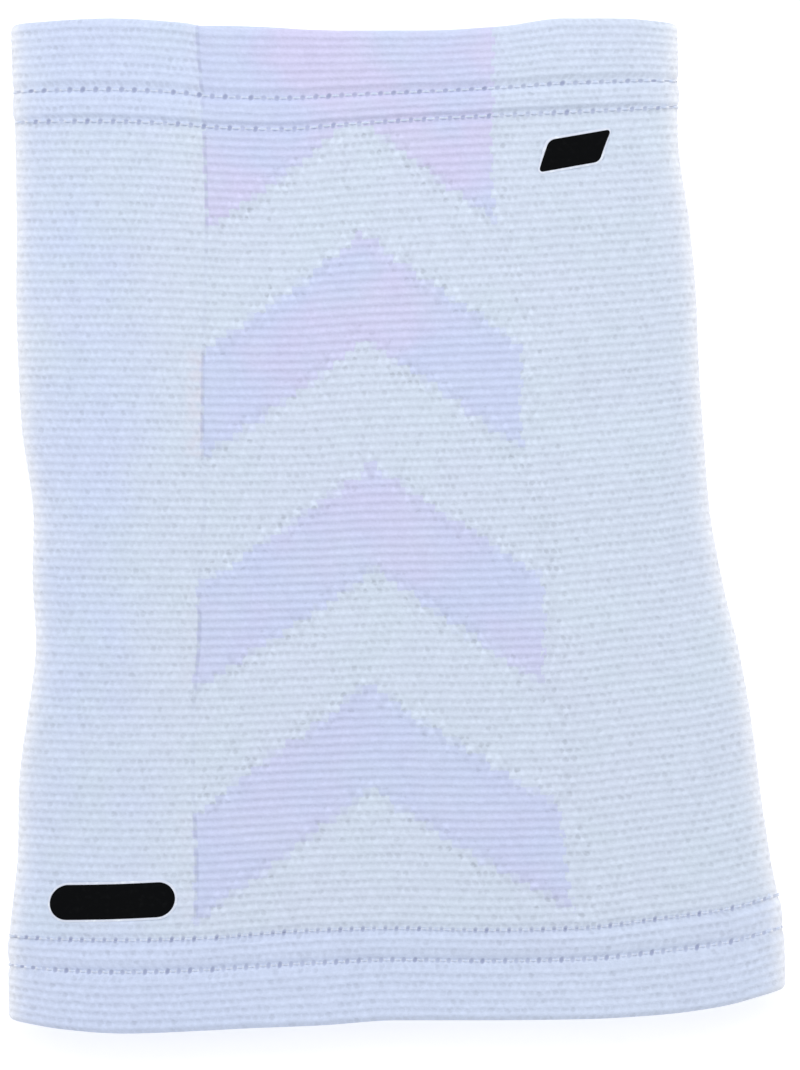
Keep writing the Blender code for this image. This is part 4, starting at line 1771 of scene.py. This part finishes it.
@dataclass
class Studio:
    """A plain pale floor, soft light and a camera straight above, as in the photo."""

    form: SleeveForm
    photo_scale: float = 0.249 * MM
    photo_size: tuple[int, int] = (800, 1070)
    sleeve_middle: tuple[float, float] = (397.4, 526.0)
    camera_height: float = 1.6
    floor_size: float = 6.0
    floor_drop: float = 0.05 * MM
    floor_colours: tuple[tuple[float, ...], ...] = ((0.92, 0.92, 0.925, 1), (0.94, 0.94, 0.94, 1))
    floor_roughness: float = 0.9
    floor_specular: float = 0.0
    table_glow: float = 0.30
    glow_colour: tuple[float, float, float, float] = (1.0, 1.0, 1.0, 1.0)
    backdrop: tuple[float, float, float, float] = (0.98, 0.99, 1.0, 1)
    backdrop_strength: float = 0.66
    softboxes: tuple[Softbox, ...] = (
        Softbox("softbox_top", (0.0, 0.8, 0.85), 0.8, 5.0),
        Softbox("softbox_left", (-1.3, -0.2, 1.2), 1.1, 4.0),
        Softbox("softbox_right", (1.3, -0.2, 1.2), 1.1, 4.0),
    )

    def floor(self) -> bpy.types.Object:
        """Makes the floor.

        Returns:
            The floor.
        """
        material, sketch, shader = new_material("studio_white")
        colour = sketch.mix(sketch.noise(sketch.place(), 3.0), *self.floor_colours)
        sketch.feed(shader.inputs["Base Color"], colour)
        shader.inputs["Roughness"].default_value = self.floor_roughness
        shader.inputs["Specular IOR Level"].default_value = self.floor_specular
        shader.inputs["Emission Color"].default_value = self.glow_colour
        shader.inputs["Emission Strength"].default_value = self.table_glow
        half, low = self.floor_size / 2, -self.floor_drop
        corners = np.array([(-half, -half, low), (half, -half, low), (half, half, low), (-half, half, low)])
        floor = mesh_object("floor", corners, [(0, 1, 2, 3)], material)
        return floor

    def area_light(self, softbox: Softbox) -> bpy.types.Object:
        """Adds a soft light that looks at the sleeve.

        Args:
            softbox: The light.

        Returns:
            Its object.
        """
        data = bpy.data.lights.new(softbox.name, "AREA")
        data.shape = "SQUARE"
        data.size = softbox.size
        data.energy = softbox.power
        light = bpy.data.objects.new(softbox.name, data)
        light.location = softbox.place
        aim = -light.location
        light.rotation_euler = aim.to_track_quat("-Z", "Y").to_euler()
        bpy.context.scene.collection.objects.link(light)
        return light

    def camera(self) -> bpy.types.Object:
        """Makes the camera, straight above, with the photo's frame round the sleeve.

        Returns:
            The camera.
        """
        wide, high = self.photo_size
        data = bpy.data.cameras.new("photo_camera")
        data.sensor_width = 36.0
        data.sensor_fit = "AUTO"
        camera = bpy.data.objects.new("photo_camera", data)
        x = (wide / 2 - self.sleeve_middle[0]) * self.photo_scale
        y = (self.sleeve_middle[1] - high / 2) * self.photo_scale
        camera.location = (x, y, self.camera_height)
        outline_height = self.form.side_fold_height
        seen = high * self.photo_scale
        data.lens = data.sensor_width * (self.camera_height - outline_height) / seen
        bpy.context.scene.collection.objects.link(camera)
        bpy.context.scene.camera = camera
        return camera

    def build(self) -> None:
        """Makes the floor, the lights, the surrounding light and the camera."""
        self.floor()
        for softbox in self.softboxes:
            self.area_light(softbox)
        world = bpy.data.worlds.new("white_room")
        world.use_nodes = True
        backdrop = world.node_tree.nodes["Background"]
        backdrop.inputs["Color"].default_value = self.backdrop
        backdrop.inputs["Strength"].default_value = self.backdrop_strength
        bpy.context.scene.world = world
        self.camera()
        bpy.context.scene.view_settings.view_transform = "Standard"


def main() -> None:
    """Builds the sleeve piece by piece, and then the studio."""
    logging.basicConfig(level=logging.INFO, format="%(name)s: %(message)s")
    form = SleeveForm()
    effects = SharedEffects()
    knit = KnitMaterial(form, effects, KnitFinish())
    shell = KnitShell(form)

    thigh_rows = [
        StitchRow("thigh_thread_inner", form.thigh_stitching, 140, 0.0),
        StitchRow("thigh_thread_outer", form.thigh_stitching - form.stitch_row_spacing, 140, 0.4),
    ]
    calf_rows = [
        StitchRow("calf_thread_inner", form.calf_stitching, 104, 0.0),
        StitchRow("calf_thread_outer", form.calf_stitching + form.stitch_row_spacing, 104, 0.3),
    ]
    body_knit = knit.build("body_knit", PanelKind.CHEVRONS, [thigh_rows[0], calf_rows[0]])
    body = SleeveBody(form, shell).build(body_knit)
    log.info("%s: %d faces", body.name, len(body.data.polygons))

    thread_knit = thread_material(ThreadFinish((202, 213, 236), knit.finish.fold), effects)
    hem_shell = KnitShell(form, rib_height=0.22 * MM, chevron_height=0.0)
    hems = (
        TurnedHem(form, hem_shell, "thigh_hem_band", "thigh_hem", False, thigh_rows),
        TurnedHem(form, hem_shell, "calf_hem_band", "calf_hem", True, calf_rows),
    )
    for hem, panel in zip(hems, (PanelKind.PLAIN, PanelKind.FILLED)):
        material = knit.build(hem.name + "_knit", panel, hem.rows)
        band = hem.build(material)
        threads = [HemThread(form, hem_shell, row).build(thread_knit) for row in hem.rows]
        hem.declare(band, threads)
        log.info("%s: %d faces and %d rows of thread", band.name, len(band.data.polygons), len(threads))

    black = film_material("black_film", FilmFinish((5, 6, 8), 0.5, 0.3), effects)
    pale = film_material("pale_film", FilmFinish((217, 223, 238), 0.6, 0.4), effects)
    pill_across = 24.6 * MM / form.thigh_width
    slanted_across = 1 - 25.5 * MM / form.calf_width
    labels = (
        TransferLabel(
            form, shell, "pill_transfer", "pill_label", LabelShape.PILL, across=pill_across,
            along=form.thigh_stitching + 9.6 * MM, tilt=math.radians(2), length=31 * MM, height=8.7 * MM,
        ),
        TransferLabel(
            form, shell, "slanted_transfer", "slanted_label", LabelShape.SLANTED, across=slanted_across,
            along=form.calf_stitching - 9.8 * MM, tilt=math.radians(7), length=20 * MM, height=7.5 * MM,
            shift=4.5 * MM,
        ),
    )
    for label in labels:
        layers = label.build(black, pale)
        log.info("%s: %d layers", label.name, len(layers))
    Studio(form).build()


if __name__ == "__main__":
    main()
